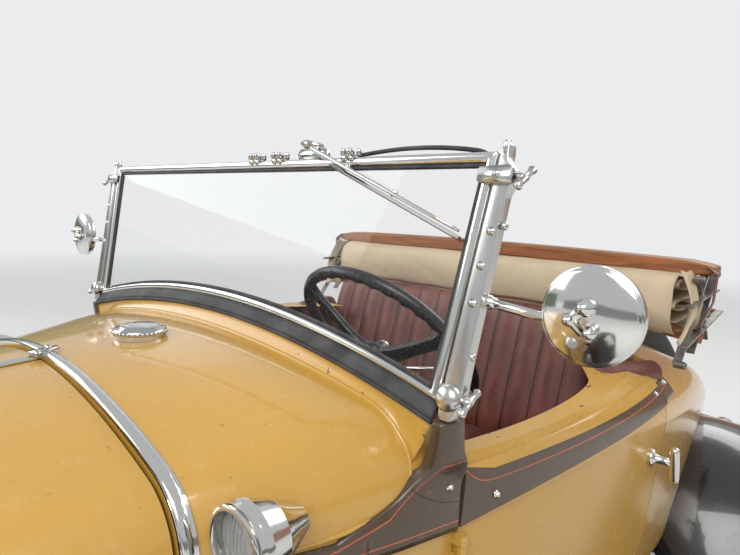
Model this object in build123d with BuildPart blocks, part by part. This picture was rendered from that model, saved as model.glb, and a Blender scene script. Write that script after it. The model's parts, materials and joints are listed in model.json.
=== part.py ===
# A two-seat open roadster of about 1930, at full size, in millimetres.
# X points to the car's own left, Y to its rear and Z up. The origin is on the ground, below the
# middle of the car's overall length. The body is a hollow shell cut where its real panels meet.

import os
from math import atan2, cos, radians, sin, sqrt

from build123d import *

# Overall layout
WHEELBASE = 2629
FRONT_AXLE_Y = -1500
REAR_AXLE_Y = FRONT_AXLE_Y + WHEELBASE
TRACK = 1422
TYRE_R = 362
AXLE_Z = TYRE_R
RUN_GAP = 0.3
PANEL_GAP = 5

# Body shell
WALL = 34
TOP_SKIN = 22
BODY_FLOOR_Z = 575
BAND_Y = -540
BAND_WIDTH = 18
DOOR_FRONT_Y = -165
DOOR_REAR_Y = 545
COCKPIT_REAR_Y = 715
TAIL_Y = 1690
BELT_TOP_Z = 1083
BELT_LOW_Z = 973
BELT_RAISE = 6
DOOR_HANDLE = (676, 480, 905)
DASH_Y = -185
LID_FRONT_Y = 985
LID_REAR_Y = 1540
LID_HALF_FRONT = 380
LID_HALF_REAR = 330
SEAM_X = 405
HINGE_X = 560
HINGE_Y = -162
HINGE_R = 8
HINGE_HEIGHTS = (690, 923)
LID_HINGE_Y = 1542.5
LID_HINGE_Z = 889
LID_HINGE_R = 6
LID_HINGE_HALF = 110

# Body sections from nose to tail: y, half width at the belt, half width at the sill,
# crown height, crown radius, shoulder radius
COWL_SECTIONS = [
    (BAND_Y, 436, 418, 1180, 1120, 95),
    (-350, 506, 482, 1190, 1900, 110),
    (DOOR_FRONT_Y, 552, 522, 1196, 2900, 120),
]
REAR_SECTIONS = [
    (DOOR_FRONT_Y, 552, 522, 1196, 2900, 120),
    (190, 612, 577, 1180, 2600, 115),
    (DOOR_REAR_Y, 636, 600, 1138, 2600, 110),
    (900, 620, 588, 1098, 2200, 105),
    (1250, 566, 540, 1022, 1600, 100),
    (1500, 512, 490, 916, 1300, 95),
    (TAIL_Y, 455, 438, 770, 1100, 90),
]

# Bonnet
SHELL_FRONT_Y = -1560
SHELL_REAR_Y = -1450
SHELL_HALF = 252
SHELL_TOP_Z = 1122
SHELL_BOTTOM_Z = 560
SHELL_ROUND = 24
GRILLE_BARS = 12
GRILLE_PITCH = 15
BONNET_SKIN = 4
BONNET_BOTTOM_Z = 600
BONNET_GAP = 5
HINGE_ROD_R = 5
# The fold between a bonnet side and its top: across, along and up, at its two ends
FOLD_FRONT = (244, SHELL_REAR_Y + BONNET_GAP, 975)
FOLD_REAR = (429.3, BAND_Y - BONNET_GAP, 1010)
FOLD_PIN_R = 4
LOUVRE_COUNT = 20
LOUVRE_PITCH = 30
LOUVRE_WIDTH = 13
LOUVRE_FRONT_Y = -1290
LOUVRE_Z = (690, 890)
LOUVRE_RAISE = 5

# Chassis
RAIL_TOP_Z = 553
RAIL_HEIGHT = 98
RAIL_WIDTH = 42
RAIL_FRONT_X = 330
RAIL_REAR_X = 400
RAIL_FLARE_FRONT_Y = -950
RAIL_FLARE_REAR_Y = -520
RAIL_FRONT_Y = -1545
RAIL_REAR_Y = 1430

# Engine
MANIFOLD_END = (-177.9, -900.2, 600.2)
PLUG_Y = (-1230, -1095, -960, -825)

# Steering
KINGPIN_X = 622
KINGPIN_R = 11
KNUCKLE_ARM = 150
DRAG_ARM = 185
DRAG_BALL_Z = 457
PITMAN_Y = -569
PITMAN_Z = 479
PITMAN_ARM = 185
COLUMN_RAKE = 40
STEER_CENTRE = (172, 98, 1138)
STEER_RIM_R = 213
SPOKE_TURNS = (18, 138, 258)
COLUMN_R = 19

# Wheel and tyre sections: across from the wheel's middle, and radius. The rim's and the tyre's
# are mirrored to the other side.
RIM_LINE = [(16, 228), (20, 236), (48, 240), (48, 254), (54, 254), (54, 238), (24, 228), (20, 221)]
TYRE_LINE = [(24, 359), (46, 346), (58, 322), (60.5, 290), (56, 262), (47.7, 255), (47.7, 240.4)]
HUB_LINE = [
    (-47, 17.3),
    (34, 17.3),
    (34, 44),
    (20, 48),
    (-20, 66),
    (-34, 66),
    (-34, 152),
    (-48, 152),
    (-48, 146),
    (-38, 146),
    (-38, 60),
    (-47, 30),
]

# Seat back and folded top in side view
SEAT_BACK_LINE = [
    (503, 600),
    (560, 575.3),
    (688, 1150),
    (680, 1180),
    (640, 1192),
    (596, 1165),
    (504, 860),
]
FOLDED_LINE = [
    (724, 1080),
    (905, 1080),
    (930, 1130),
    (930, 1280),
    (905, 1300),
    (715, 1300),
    (690, 1280),
    (695, 1130),
]
HEADER_HALF = 655
# Flat bars of the top's irons: how far out, lower end, upper end
IRON_BARS = [
    (602, (637, 1062), (800, 1292)),
    (607.5, (880, 985), (722, 1290)),
    (613, (640, 1160), (915, 1190)),
]
# Pins through the bars where they cross
IRON_PINS = [(706, 1167), (789.5, 1176), (752.5, 1225)]

# Bumper irons
TOW_HOLE_R = 6.5

# Windscreen
SCREEN_LEAN = 11
SCREEN_BASE = (0, -222, 1176)
SCREEN_HALF = 550
SCREEN_FLARE = 30
SCREEN_HEIGHT = 344
SCREEN_CROWN = 66
SCREEN_BAR = 20
SCREEN_DEPTH = 17
SEAL_HALF = 515
MIRROR_R = 58
GLASS = 6


def keep(part, label):
    """Names one finished piece and writes it to its own file."""
    part.label = label
    export_step(part, f"parts/{label}.step")
    return part


def arch(y, half, half_low, top, crown, shoulder, low):
    """A body section across the car: flat foot, straight sides, round shoulders, crowned top."""
    crown_z = top - crown
    side_z = crown_z + sqrt((crown - shoulder) ** 2 - (half - shoulder) ** 2)
    turn = atan2(side_z - crown_z, half - shoulder)
    join = (crown * cos(turn), crown_z + crown * sin(turn))
    bend = (
        half - shoulder + shoulder * cos(turn / 2),
        side_z + shoulder * sin(turn / 2),
    )
    with BuildSketch(Plane((0, y, 0), x_dir=(1, 0, 0), z_dir=(0, -1, 0))) as section:
        with BuildLine():
            Line((-half_low, low), (half_low, low))
            Line((half_low, low), (half, side_z))
            ThreePointArc((half, side_z), bend, join)
            ThreePointArc(join, (0, top), (-join[0], join[1]))
            ThreePointArc((-join[0], join[1]), (-bend[0], bend[1]), (-half, side_z))
            Line((-half, side_z), (-half_low, low))
        make_face()
    return section


def arch_loft(rows, low, inset=0.0, skin=0.0, ruled=False):
    """A solid lofted through body sections, drawn in from the sides and the top by the given walls."""
    with BuildPart() as solid:
        for y, half, half_low, top, crown, shoulder in rows:
            section = arch(
                y, half - inset, half_low - inset, top - skin, crown - skin, shoulder - skin, low
            )
            add(section.sketch)
        loft(ruled=ruled)
    return solid.part


def side_prism(points, x_low, x_high):
    """A slab with a straight-edged outline in side view, between two places across the car."""
    with BuildPart() as slab:
        with BuildSketch(Plane.YZ.offset(x_low)):
            with BuildLine():
                Polyline(*points, close=True)
            make_face()
        extrude(amount=x_high - x_low)
    return slab.part


def block(x0, x1, y0, y1, z0, z1):
    """A plain box between two corners."""
    with BuildPart() as box:
        with Locations(((x0 + x1) / 2, (y0 + y1) / 2, (z0 + z1) / 2)):
            Box(x1 - x0, y1 - y0, z1 - z0)
    return box.part


def side_block(side, near, far, *rest):
    """A plain box from near to far out, on the left with side 1 and on the right with side -1."""
    return block(*sorted((side * near, side * far)), *rest)


def both_sides(part):
    """The piece and its mirror image across the car's middle."""
    return part + part.mirror(Plane.YZ)


def rod(start, end, radius):
    """A round bar between two points."""
    a = Vector(*start)
    b = Vector(*end)
    with BuildPart() as bar:
        with BuildSketch(Plane(origin=a, z_dir=b - a)):
            Circle(radius)
        extrude(amount=(b - a).length)
    return bar.part


# Body shell and the panels cut from it
def body_shell():
    cowl_outer = arch_loft(COWL_SECTIONS, BODY_FLOOR_Z)
    rear_outer = arch_loft(REAR_SECTIONS, BODY_FLOOR_Z)
    cowl_inner = arch_loft(COWL_SECTIONS, BODY_FLOOR_Z - 1, WALL, TOP_SKIN)
    rear_rows = REAR_SECTIONS[:-1]
    tail = REAR_SECTIONS[-1]
    rear_rows = rear_rows + [(TAIL_Y - WALL, tail[1] + 8, tail[2] + 8, tail[3] + 25, tail[4], tail[5])]
    rear_inner = arch_loft(rear_rows, BODY_FLOOR_Z - 1, WALL, TOP_SKIN)
    return cowl_outer - cowl_inner, rear_outer - rear_inner


def door_outline(grow=0.0):
    return [
        (DOOR_FRONT_Y + PANEL_GAP - grow, BODY_FLOOR_Z + 18 - grow),
        (DOOR_REAR_Y - 70, BODY_FLOOR_Z + 18 - grow),
        (DOOR_REAR_Y - PANEL_GAP + grow, BODY_FLOOR_Z + 110),
        (DOOR_REAR_Y - PANEL_GAP + grow, BELT_TOP_Z + 200 * (grow > 0)),
        (DOOR_FRONT_Y + PANEL_GAP - grow, BELT_TOP_Z + 200 * (grow > 0)),
    ]


def door_belt():
    """The raised moulding along the left door, narrower towards its rear end."""
    line = [
        (DOOR_FRONT_Y + PANEL_GAP, BELT_LOW_Z),
        (DOOR_REAR_Y - PANEL_GAP, BELT_LOW_Z + 40),
        (DOOR_REAR_Y - PANEL_GAP, BELT_TOP_Z - 15),
        (DOOR_FRONT_Y + PANEL_GAP, BELT_TOP_Z - 15),
    ]
    raised = arch_loft(REAR_SECTIONS[:4], BODY_FLOOR_Z, -BELT_RAISE, -BELT_RAISE)
    with BuildPart() as belt:
        add(raised - arch_loft(REAR_SECTIONS[:4], BODY_FLOOR_Z - 1, WALL / 2, TOP_SKIN / 2))
        add(side_prism(line, 400, 700), mode=Mode.INTERSECT)
    return belt.part


def make_body():
    cowl_shell, rear_shell = body_shell()
    with BuildPart() as cowl:
        add(cowl_shell)
        add(block(-700, 700, DASH_Y, DOOR_FRONT_Y + 1, BELT_TOP_Z, 1400), mode=Mode.SUBTRACT)
        for z in HINGE_HEIGHTS:
            for side in (1, -1):
                for rise in (-34, 0, 34):
                    x = side * HINGE_X
                    low, high = z + rise - 8.4, z + rise + 8.4
                    add(rod((x, HINGE_Y, low), (x, HINGE_Y, high), HINGE_R))
                    add(side_block(side, HINGE_X - 34, HINGE_X, HINGE_Y - 8, HINGE_Y, low, high))
    keep(cowl.part, "cowl")

    with BuildPart() as open_shell:
        add(rear_shell)
        add(block(-700, 700, DOOR_FRONT_Y - 1, DOOR_REAR_Y, BELT_TOP_Z, 1400), mode=Mode.SUBTRACT)
        with BuildSketch(Plane.XY.offset(BELT_TOP_Z - 130)):
            with Locations((0, (DOOR_REAR_Y - 200 + COCKPIT_REAR_Y) / 2)):
                RectangleRounded(2 * 585, COCKPIT_REAR_Y - DOOR_REAR_Y + 200, 90)
        extrude(amount=400, mode=Mode.SUBTRACT)
        add(side_prism(door_outline(PANEL_GAP), -800, 800), mode=Mode.SUBTRACT)
    lid_plan = [
        (LID_HALF_FRONT, LID_FRONT_Y),
        (LID_HALF_REAR, LID_REAR_Y),
        (-LID_HALF_REAR, LID_REAR_Y),
        (-LID_HALF_FRONT, LID_FRONT_Y),
    ]
    with BuildPart() as lid_tool:
        with BuildSketch(Plane.XY.offset(BODY_FLOOR_Z + 150)) as plan:
            with BuildLine():
                Polyline(*lid_plan, close=True)
            make_face()
            fillet(plan.vertices(), 60)
        extrude(amount=700)
    with BuildPart() as lid_hole:
        with BuildSketch(Plane.XY.offset(BODY_FLOOR_Z + 150)) as plan:
            with BuildLine():
                Polyline(*lid_plan, close=True)
            make_face()
            fillet(plan.vertices(), 60)
            offset(amount=PANEL_GAP)
        extrude(amount=700)
    pin_start = (-LID_HINGE_HALF, LID_HINGE_Y, LID_HINGE_Z)
    pin_end = (LID_HINGE_HALF, LID_HINGE_Y, LID_HINGE_Z)
    with BuildPart() as rumble_lid:
        add(rear_shell)
        add(lid_tool.part, mode=Mode.INTERSECT)
        add(rod(pin_start, pin_end, LID_HINGE_R))
    keep(rumble_lid.part, "rumble_lid")
    pad_skin = TOP_SKIN + RUN_GAP
    pad_loft = arch_loft(REAR_SECTIONS, BODY_FLOOR_Z, WALL, pad_skin)
    with BuildPart() as rumble_back:
        add(pad_loft - arch_loft(REAR_SECTIONS, BODY_FLOOR_Z - 1, 0, pad_skin + 65))
        add(block(-290, 290, LID_FRONT_Y + 35, LID_REAR_Y - 90, 700, 1300), mode=Mode.INTERSECT)
    keep(rumble_back.part, "rumble_back")

    with BuildPart() as holed:
        add(open_shell.part)
        add(lid_hole.part, mode=Mode.SUBTRACT)
    with BuildPart() as deck_panel:
        add(holed.part)
        deck_low = BODY_FLOOR_Z + 200
        deck_box = block(-SEAM_X, SEAM_X, DOOR_REAR_Y, LID_FRONT_Y + 80, deck_low, 1300)
        add(deck_box, mode=Mode.INTERSECT)
    keep(deck_panel.part, "deck_panel")
    with BuildPart() as tail_panel:
        add(holed.part)
        add(block(-SEAM_X, SEAM_X, LID_FRONT_Y + 80, TAIL_Y + 1, BODY_FLOOR_Z - 1, 1300), mode=Mode.INTERSECT)
        add(rod(pin_start, pin_end, LID_HINGE_R + 2 * RUN_GAP), mode=Mode.SUBTRACT)
    keep(tail_panel.part, "tail_panel")
    with BuildPart() as quarter_panels:
        add(holed.part)
        add(block(-SEAM_X, SEAM_X, DOOR_FRONT_Y - 1, TAIL_Y + 1, BODY_FLOOR_Z - 1, 1300), mode=Mode.SUBTRACT)
    keep(quarter_panels.part, "quarter_panels")

    with BuildPart() as door_left:
        add(rear_shell)
        add(side_prism(door_outline(), 100, 800), mode=Mode.INTERSECT)
        for z in HINGE_HEIGHTS:
            for rise in (-17, 17):
                add(rod((HINGE_X, HINGE_Y, z + rise - 8), (HINGE_X, HINGE_Y, z + rise + 8), HINGE_R))
                add(block(HINGE_X - 34, HINGE_X, HINGE_Y, HINGE_Y + 8, z + rise - 8, z + rise + 8))
        add(door_belt())
        x, y, z = DOOR_HANDLE
        add(rod((x, y - 10, z + 36), (x, y + 14, z - 42), 9.5))
        add(rod((x - 60, y + 1, z), (x - 2, y + 1, z), 7))
    keep(door_left.part, "door_left")
    keep(door_left.part.mirror(Plane.YZ), "door_right")



# Bonnet and radiator
def bonnet_rows(grow=0.0):
    return [
        (SHELL_REAR_Y + BONNET_GAP, 246 + grow, 246 + grow, SHELL_TOP_Z - 6 + grow, 424 + grow, 84 + grow),
        (BAND_Y - BONNET_GAP, 432 + grow, 414 + grow, 1176 + grow, 1116 + grow, 91 + grow),
    ]


def bonnet_louvres():
    """The row of raised louvres on the left side of the bonnet."""
    raised = arch_loft(bonnet_rows(LOUVRE_RAISE), BONNET_BOTTOM_Z, ruled=True)
    low, high = LOUVRE_Z
    with BuildPart() as slots:
        for i in range(LOUVRE_COUNT):
            y = LOUVRE_FRONT_Y + i * LOUVRE_PITCH
            line = [(y, low), (y + LOUVRE_WIDTH, low), (y + LOUVRE_WIDTH, high), (y, high)]
            add(side_prism(line, 100, 500))
    with BuildPart() as louvres:
        add(raised - arch_loft(bonnet_rows(-1), BONNET_BOTTOM_Z - 1, ruled=True))
        add(slots.part, mode=Mode.INTERSECT)
    return louvres.part


def make_bonnet():
    outer = arch_loft(bonnet_rows(), BONNET_BOTTOM_Z, ruled=True)
    inner = arch_loft(bonnet_rows(-BONNET_SKIN), BONNET_BOTTOM_Z - 1, ruled=True)
    shell = outer - inner
    hinge_gap = HINGE_ROD_R + RUN_GAP
    seam = 0.4
    ends = [(y, z) for _, y, z in (FOLD_FRONT, FOLD_REAR)]
    above = [(y, z + seam) for y, z in ends] + [(BAND_Y, 1300), (SHELL_REAR_Y, 1300)]
    below = [(y, z - seam) for y, z in ends] + [(BAND_Y, 500), (SHELL_REAR_Y, 500)]
    with BuildPart() as top_left:
        add(shell)
        add(side_prism(above, hinge_gap, 500), mode=Mode.INTERSECT)
        add(rod(FOLD_FRONT, FOLD_REAR, FOLD_PIN_R + RUN_GAP), mode=Mode.SUBTRACT)
    with BuildPart() as side_left:
        add(shell)
        add(side_prism(below, hinge_gap, 500), mode=Mode.INTERSECT)
        add(rod(FOLD_FRONT, FOLD_REAR, FOLD_PIN_R))
        add(bonnet_louvres())
    keep(top_left.part, "bonnet_top_left")
    keep(top_left.part.mirror(Plane.YZ), "bonnet_top_right")
    keep(side_left.part, "bonnet_side_left")
    keep(side_left.part.mirror(Plane.YZ), "bonnet_side_right")


def make_radiator():
    depth = SHELL_REAR_Y - SHELL_FRONT_Y
    round_y = SHELL_FRONT_Y + SHELL_ROUND
    rows = [
        (SHELL_REAR_Y, SHELL_HALF, SHELL_HALF - 8, SHELL_TOP_Z, 430, 90),
        (round_y, SHELL_HALF, SHELL_HALF - 8, SHELL_TOP_Z, 430, 90),
        (round_y - 12, SHELL_HALF - 6, SHELL_HALF - 14, SHELL_TOP_Z - 6, 424, 84),
        (SHELL_FRONT_Y, SHELL_HALF - 20, SHELL_HALF - 28, SHELL_TOP_Z - 20, 410, 70),
    ]
    opening = (SHELL_HALF - 40, SHELL_HALF - 46, SHELL_TOP_Z - 62, 390, 50)
    with BuildPart() as shell:
        add(arch_loft(rows, SHELL_BOTTOM_Z, ruled=True))
        extrude(
            arch(SHELL_REAR_Y + 1, *opening, SHELL_BOTTOM_Z + 42).sketch,
            amount=depth + 2,
            mode=Mode.SUBTRACT,
        )
        with Locations((0, (SHELL_FRONT_Y + SHELL_REAR_Y) / 2, SHELL_TOP_Z + 10)):
            Cylinder(24, 24)
        with Locations((0, (SHELL_FRONT_Y + SHELL_REAR_Y) / 2, SHELL_TOP_Z + 26)):
            Cylinder(38, 14)
    keep(shell.part, "radiator_shell")
    with BuildPart() as core:
        half, half_low, top, crown, shoulder = opening
        fit = (half - RUN_GAP, half_low - RUN_GAP, top - RUN_GAP, crown, shoulder)
        extrude(arch(SHELL_REAR_Y - 20, *fit, SHELL_BOTTOM_Z + 42 + RUN_GAP).sketch, amount=60)
    with BuildPart() as grille:
        extrude(arch(SHELL_REAR_Y - 79, *fit, SHELL_BOTTOM_Z + 42 + RUN_GAP).sketch, amount=7)
    with BuildPart() as bars:
        for i in range(-GRILLE_BARS, GRILLE_BARS + 1):
            x = i * GRILLE_PITCH
            add(block(x - 2.5, x + 2.5, SHELL_FRONT_Y, SHELL_REAR_Y, SHELL_BOTTOM_Z, SHELL_TOP_Z))
        add(grille.part, mode=Mode.INTERSECT)
    keep(core.part + bars.part, "radiator_core")


# Chassis
def make_frame():
    z = RAIL_TOP_Z - RAIL_HEIGHT
    inner = RAIL_FRONT_X - RAIL_WIDTH / 2
    outer = RAIL_FRONT_X + RAIL_WIDTH / 2
    spread = RAIL_REAR_X - RAIL_FRONT_X
    plan = [
        (inner, RAIL_FRONT_Y),
        (outer, RAIL_FRONT_Y),
        (outer, RAIL_FLARE_FRONT_Y),
        (outer + spread, RAIL_FLARE_REAR_Y),
        (outer + spread, RAIL_REAR_Y),
        (inner + spread, RAIL_REAR_Y),
        (inner + spread, RAIL_FLARE_REAR_Y),
        (inner, RAIL_FLARE_FRONT_Y),
    ]
    with BuildPart() as rail:
        with BuildSketch(Plane.XY.offset(z)):
            with BuildLine():
                Polyline(*plan, close=True)
            make_face()
        extrude(amount=RAIL_HEIGHT)
        add(rod((300, PITMAN_Y, PITMAN_Z), (500, PITMAN_Y, PITMAN_Z), 16 + RUN_GAP), mode=Mode.SUBTRACT)
    keep(both_sides(rail.part), "frame_rails")
    # Crossmembers: y, half width, height of the foot, height of the top
    members = [
        (FRONT_AXLE_Y, inner - 0.2, z + 15.3, RAIL_TOP_Z),
        (-290, inner + spread - 0.2, z + 20, RAIL_TOP_Z - 10),
        (REAR_AXLE_Y + 110, inner + spread - 0.2, z + 41.3, RAIL_TOP_Z),
        (RAIL_REAR_Y - 32, inner + spread - 0.2, z + 20, RAIL_TOP_Z - 10),
    ]
    with BuildPart() as crossmembers:
        for y, half, low, high in members:
            add(block(-half, half, y - 32, y + 32, low, high))
    keep(crossmembers.part, "crossmembers")


def make_engine():
    x, y, z = MANIFOLD_END
    with BuildPart() as engine:
        add(block(-125, 125, -1300, -720, 440, 560))
        add(block(-95, 95, -1290, -735, 559, 800))
        add(block(-105, 105, -1296, -729, 799, 842))
        for place in PLUG_Y:
            add(rod((-20, place, 841), (-20, place, 905), 10))
            add(rod((-94, place, 690), (-126, place, 690), 21))
        add(rod((0, -1240, 841), (0, -1240, 905), 27))
        add(rod((0, -1229, 890), (0, SHELL_REAR_Y - 20 + RUN_GAP, 890), 20))
        add(rod((-125, -1265, 690), (-125, -775, 690), 26))
        add(rod((x + 56, y - 100, z + 80), MANIFOLD_END, 24))
        add(block(94, 150, -1050, -990, 640, 735))
        add(rod((125, -1020, 734), (125, -1020, 790), 38))
        add(rod((150, -1285, 600), (150, -1130, 600), 50))
        add(rod((0, -1289, 740), (0, -1352, 740), 32))
        add(block(-170, 170, -1352, -1346, 722, 758))
        add(block(-18, 18, -1352, -1346, 570, 910))
        add(block(-120, 120, -721, BAND_Y - 1, 400, 700))
        add(block(-95, 95, BAND_Y - 2, -330, 420, 550))
        add(block(-351, 351, -690, -650, 505, 540))
    keep(engine.part, "engine")


def leaf_spring(y, z, half, leaves, width, thick, arch_rise, upside=1):
    """A crosswise spring: flat leaves of falling length stacked on one another."""
    with BuildPart() as spring:
        for i in range(leaves):
            reach = half * (1 - 0.11 * i)
            rise = arch_rise * (reach / half) ** 2
            low = z + upside * thick * i
            with BuildSketch(Plane((0, y + width / 2, 0), x_dir=(1, 0, 0), z_dir=(0, -1, 0))):
                with BuildLine():
                    ThreePointArc((-reach, low - rise), (0, low), (reach, low - rise))
                    Line((reach, low - rise), (reach, low - rise + thick))
                    ThreePointArc((reach, low - rise + thick), (0, low + thick), (-reach, low - rise + thick))
                    Line((-reach, low - rise + thick), (-reach, low - rise))
                make_face()
            extrude(amount=width)
    return spring.part


def make_axles():
    beam_drop = 40
    # The left half of the front beam, seen from the front
    beam = [
        (440, AXLE_Z - beam_drop + 24),
        (KINGPIN_X - 60, AXLE_Z + 16),
        (KINGPIN_X, AXLE_Z + 22),
        (KINGPIN_X, AXLE_Z - 22),
        (KINGPIN_X - 60, AXLE_Z - 26),
        (440, AXLE_Z - beam_drop - 24),
    ]
    with BuildPart() as front_axle:
        with BuildSketch(Plane((0, FRONT_AXLE_Y + 20, 0), x_dir=(1, 0, 0), z_dir=(0, -1, 0))):
            with BuildLine():
                Polyline(*beam, *[(-x, z) for x, z in reversed(beam)], close=True)
            make_face()
        extrude(amount=40)
        with Locations((KINGPIN_X, FRONT_AXLE_Y, AXLE_Z), (-KINGPIN_X, FRONT_AXLE_Y, AXLE_Z)):
            Cylinder(25, 56)
        for side in (1, -1):
            perch = (side * 430, FRONT_AXLE_Y, AXLE_Z - beam_drop + 10)
            add(rod(perch, (side * 430, FRONT_AXLE_Y, AXLE_Z + 39.6), 13))
            add(rod((side * 430, FRONT_AXLE_Y + 10, AXLE_Z - 20), (side * 20, -620, 362), 15))
        add(rod((0, -645, 362), (0, -600, 362), 30))
        with Locations((KINGPIN_X, FRONT_AXLE_Y, AXLE_Z), (-KINGPIN_X, FRONT_AXLE_Y, AXLE_Z)):
            Cylinder(KINGPIN_R + RUN_GAP, 60, mode=Mode.SUBTRACT)
    keep(front_axle.part, "front_axle")

    with BuildPart() as rear_axle:
        with Locations(Location((0, REAR_AXLE_Y, AXLE_Z), (0, 90, 0))):
            Cylinder(38, 2 * 640)
            Cylinder(120, 110)
            Cylinder(90, 220)
            Cylinder(17, 2 * 742)
        for x in (-656, 648):
            add(rod((x, REAR_AXLE_Y, AXLE_Z), (x + 8, REAR_AXLE_Y, AXLE_Z), 143))
        add(rod((0, REAR_AXLE_Y, AXLE_Z), (0, -320, 420), 36))
        for side in (1, -1):
            add(rod((side * 560, REAR_AXLE_Y - 20, AXLE_Z - 20), (side * 30, -240, 405), 14))
            add(rod((side * 560, REAR_AXLE_Y + 30, AXLE_Z), (side * 560, REAR_AXLE_Y + 136, 384.1), 16))
    keep(rear_axle.part, "rear_axle")

    with BuildPart() as springs:
        add(leaf_spring(FRONT_AXLE_Y, 434, 425, 5, 50, 7.2, 32))
        add(leaf_spring(REAR_AXLE_Y + 110, 456, 560, 5, 55, 8, 56))
    keep(springs.part, "springs")


def knuckle(side):
    """The left knuckle with side 1, the right one with side -1."""
    with BuildPart() as part:
        with Locations((side * KINGPIN_X, FRONT_AXLE_Y, AXLE_Z)):
            Cylinder(KINGPIN_R, 110)
        for z in (AXLE_Z + 41, AXLE_Z - 41):
            with Locations((side * KINGPIN_X, FRONT_AXLE_Y, z)):
                Cylinder(24, 22)
        for z in (AXLE_Z + 41, AXLE_Z - 41):
            y = FRONT_AXLE_Y
            add(side_block(side, KINGPIN_X, KINGPIN_X + 34, y - 20, y + 20, z - 11, z + 11))
        add(side_block(side, KINGPIN_X + 27, KINGPIN_X + 38, y - 22, y + 22, AXLE_Z - 52, AXLE_Z + 52))
        with Locations(Location((side * 656, FRONT_AXLE_Y, AXLE_Z), (0, 90, 0))):
            Cylinder(143, 6)
        add(rod((side * 650, FRONT_AXLE_Y, AXLE_Z), (side * 742, FRONT_AXLE_Y, AXLE_Z), 17))
        arm_z = AXLE_Z - 46
        arm_end = (side * KINGPIN_X, FRONT_AXLE_Y + KNUCKLE_ARM, arm_z)
        add(rod((side * KINGPIN_X, FRONT_AXLE_Y, arm_z), arm_end, 11))
        with Locations((side * KINGPIN_X, FRONT_AXLE_Y + KNUCKLE_ARM, arm_z - 12)):
            Cylinder(9, 44)
        with Locations((side * KINGPIN_X, FRONT_AXLE_Y + KNUCKLE_ARM, arm_z)):
            Cylinder(16, 18)
        if side > 0:
            arm_z = DRAG_BALL_Z - 22
            add(rod((KINGPIN_X, FRONT_AXLE_Y, AXLE_Z + 46), (KINGPIN_X, FRONT_AXLE_Y, arm_z + 10), 18))
            add(rod((KINGPIN_X, FRONT_AXLE_Y, arm_z), (KINGPIN_X - DRAG_ARM, FRONT_AXLE_Y, arm_z), 10))
            with Locations((KINGPIN_X - DRAG_ARM, FRONT_AXLE_Y, DRAG_BALL_Z - 6)):
                Cylinder(9, 40)
    return part.part


def make_steering():
    keep(knuckle(1), "knuckle_left")
    keep(knuckle(-1), "knuckle_right")
    arm_y = FRONT_AXLE_Y + KNUCKLE_ARM
    rod_z = AXLE_Z - 46 - 22
    with BuildPart() as tie_rod:
        add(rod((-KINGPIN_X + 14, arm_y, rod_z), (KINGPIN_X - 14, arm_y, rod_z), 10))
        with Locations((KINGPIN_X, arm_y, rod_z), (-KINGPIN_X, arm_y, rod_z)):
            Cylinder(18, 22)
            Cylinder(9 + RUN_GAP, 30, mode=Mode.SUBTRACT)
    keep(tie_rod.part, "tie_rod")
    drag_x = KINGPIN_X - DRAG_ARM
    drag_end = PITMAN_Z - PITMAN_ARM
    with BuildPart() as drag_link:
        add(rod((drag_x, FRONT_AXLE_Y + 13, DRAG_BALL_Z), (drag_x, PITMAN_Y - 40, drag_end), 10))
        with Locations((drag_x, FRONT_AXLE_Y, DRAG_BALL_Z)):
            Cylinder(18, 22)
            Cylinder(9 + RUN_GAP, 30, mode=Mode.SUBTRACT)
    keep(drag_link.part, "drag_link")
    with BuildPart() as pitman_arm:
        add(rod((310, PITMAN_Y, PITMAN_Z), (drag_x + 8, PITMAN_Y, PITMAN_Z), 16))
        add(rod((drag_x, PITMAN_Y, PITMAN_Z), (drag_x, PITMAN_Y, drag_end), 11))
        with Locations(Location((drag_x, PITMAN_Y, PITMAN_Z), (0, 90, 0))):
            Cylinder(25, 24)
        with Locations(Location((drag_x, PITMAN_Y, drag_end), (0, 90, 0))):
            Cylinder(17, 24)
    keep(pitman_arm.part, "pitman_arm")
    x, y, z = STEER_CENTRE
    down = Vector(0, -cos(radians(COLUMN_RAKE)), -sin(radians(COLUMN_RAKE)))
    top = Vector(x, y, z)
    box_top = top + down * 876
    box_end = top + down * 940
    with BuildPart() as column:
        add(rod(tuple(top + down * (58 + RUN_GAP)), tuple(box_end), COLUMN_R))
        add(rod(tuple(box_top), tuple(box_end), 46))
        add(block(x - 30, 366.9, PITMAN_Y - 24, PITMAN_Y + 20, PITMAN_Z - 24, PITMAN_Z + 80))
        add(rod((300, PITMAN_Y, PITMAN_Z), (400, PITMAN_Y, PITMAN_Z), 16 + RUN_GAP), mode=Mode.SUBTRACT)
    keep(column.part, "steering_column")
    plane = Plane(origin=top, x_dir=(1, 0, 0), z_dir=-down)
    with BuildPart() as wheel:
        with BuildSketch(Plane(origin=top + Vector(STEER_RIM_R, 0, 0), x_dir=(1, 0, 0), z_dir=plane.y_dir)):
            Circle(12)
        revolve(axis=Axis(top, -down))
        add(rod(tuple(top + down * 58), tuple(top + down * 12), 26))
        reach = STEER_RIM_R - 4
        for turn in map(radians, SPOKE_TURNS):
            tip = plane.from_local_coords(Vector(reach * cos(turn), reach * sin(turn), 0))
            add(rod(tuple(top + down * 40), tuple(tip), 9))
    keep(wheel.part, "steering_wheel")


def mirrored(line):
    """A section and its mirror image in one closed outline, starting and ending off the middle."""
    return [*line, *[(-x, r) for x, r in reversed(line)]]


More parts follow.
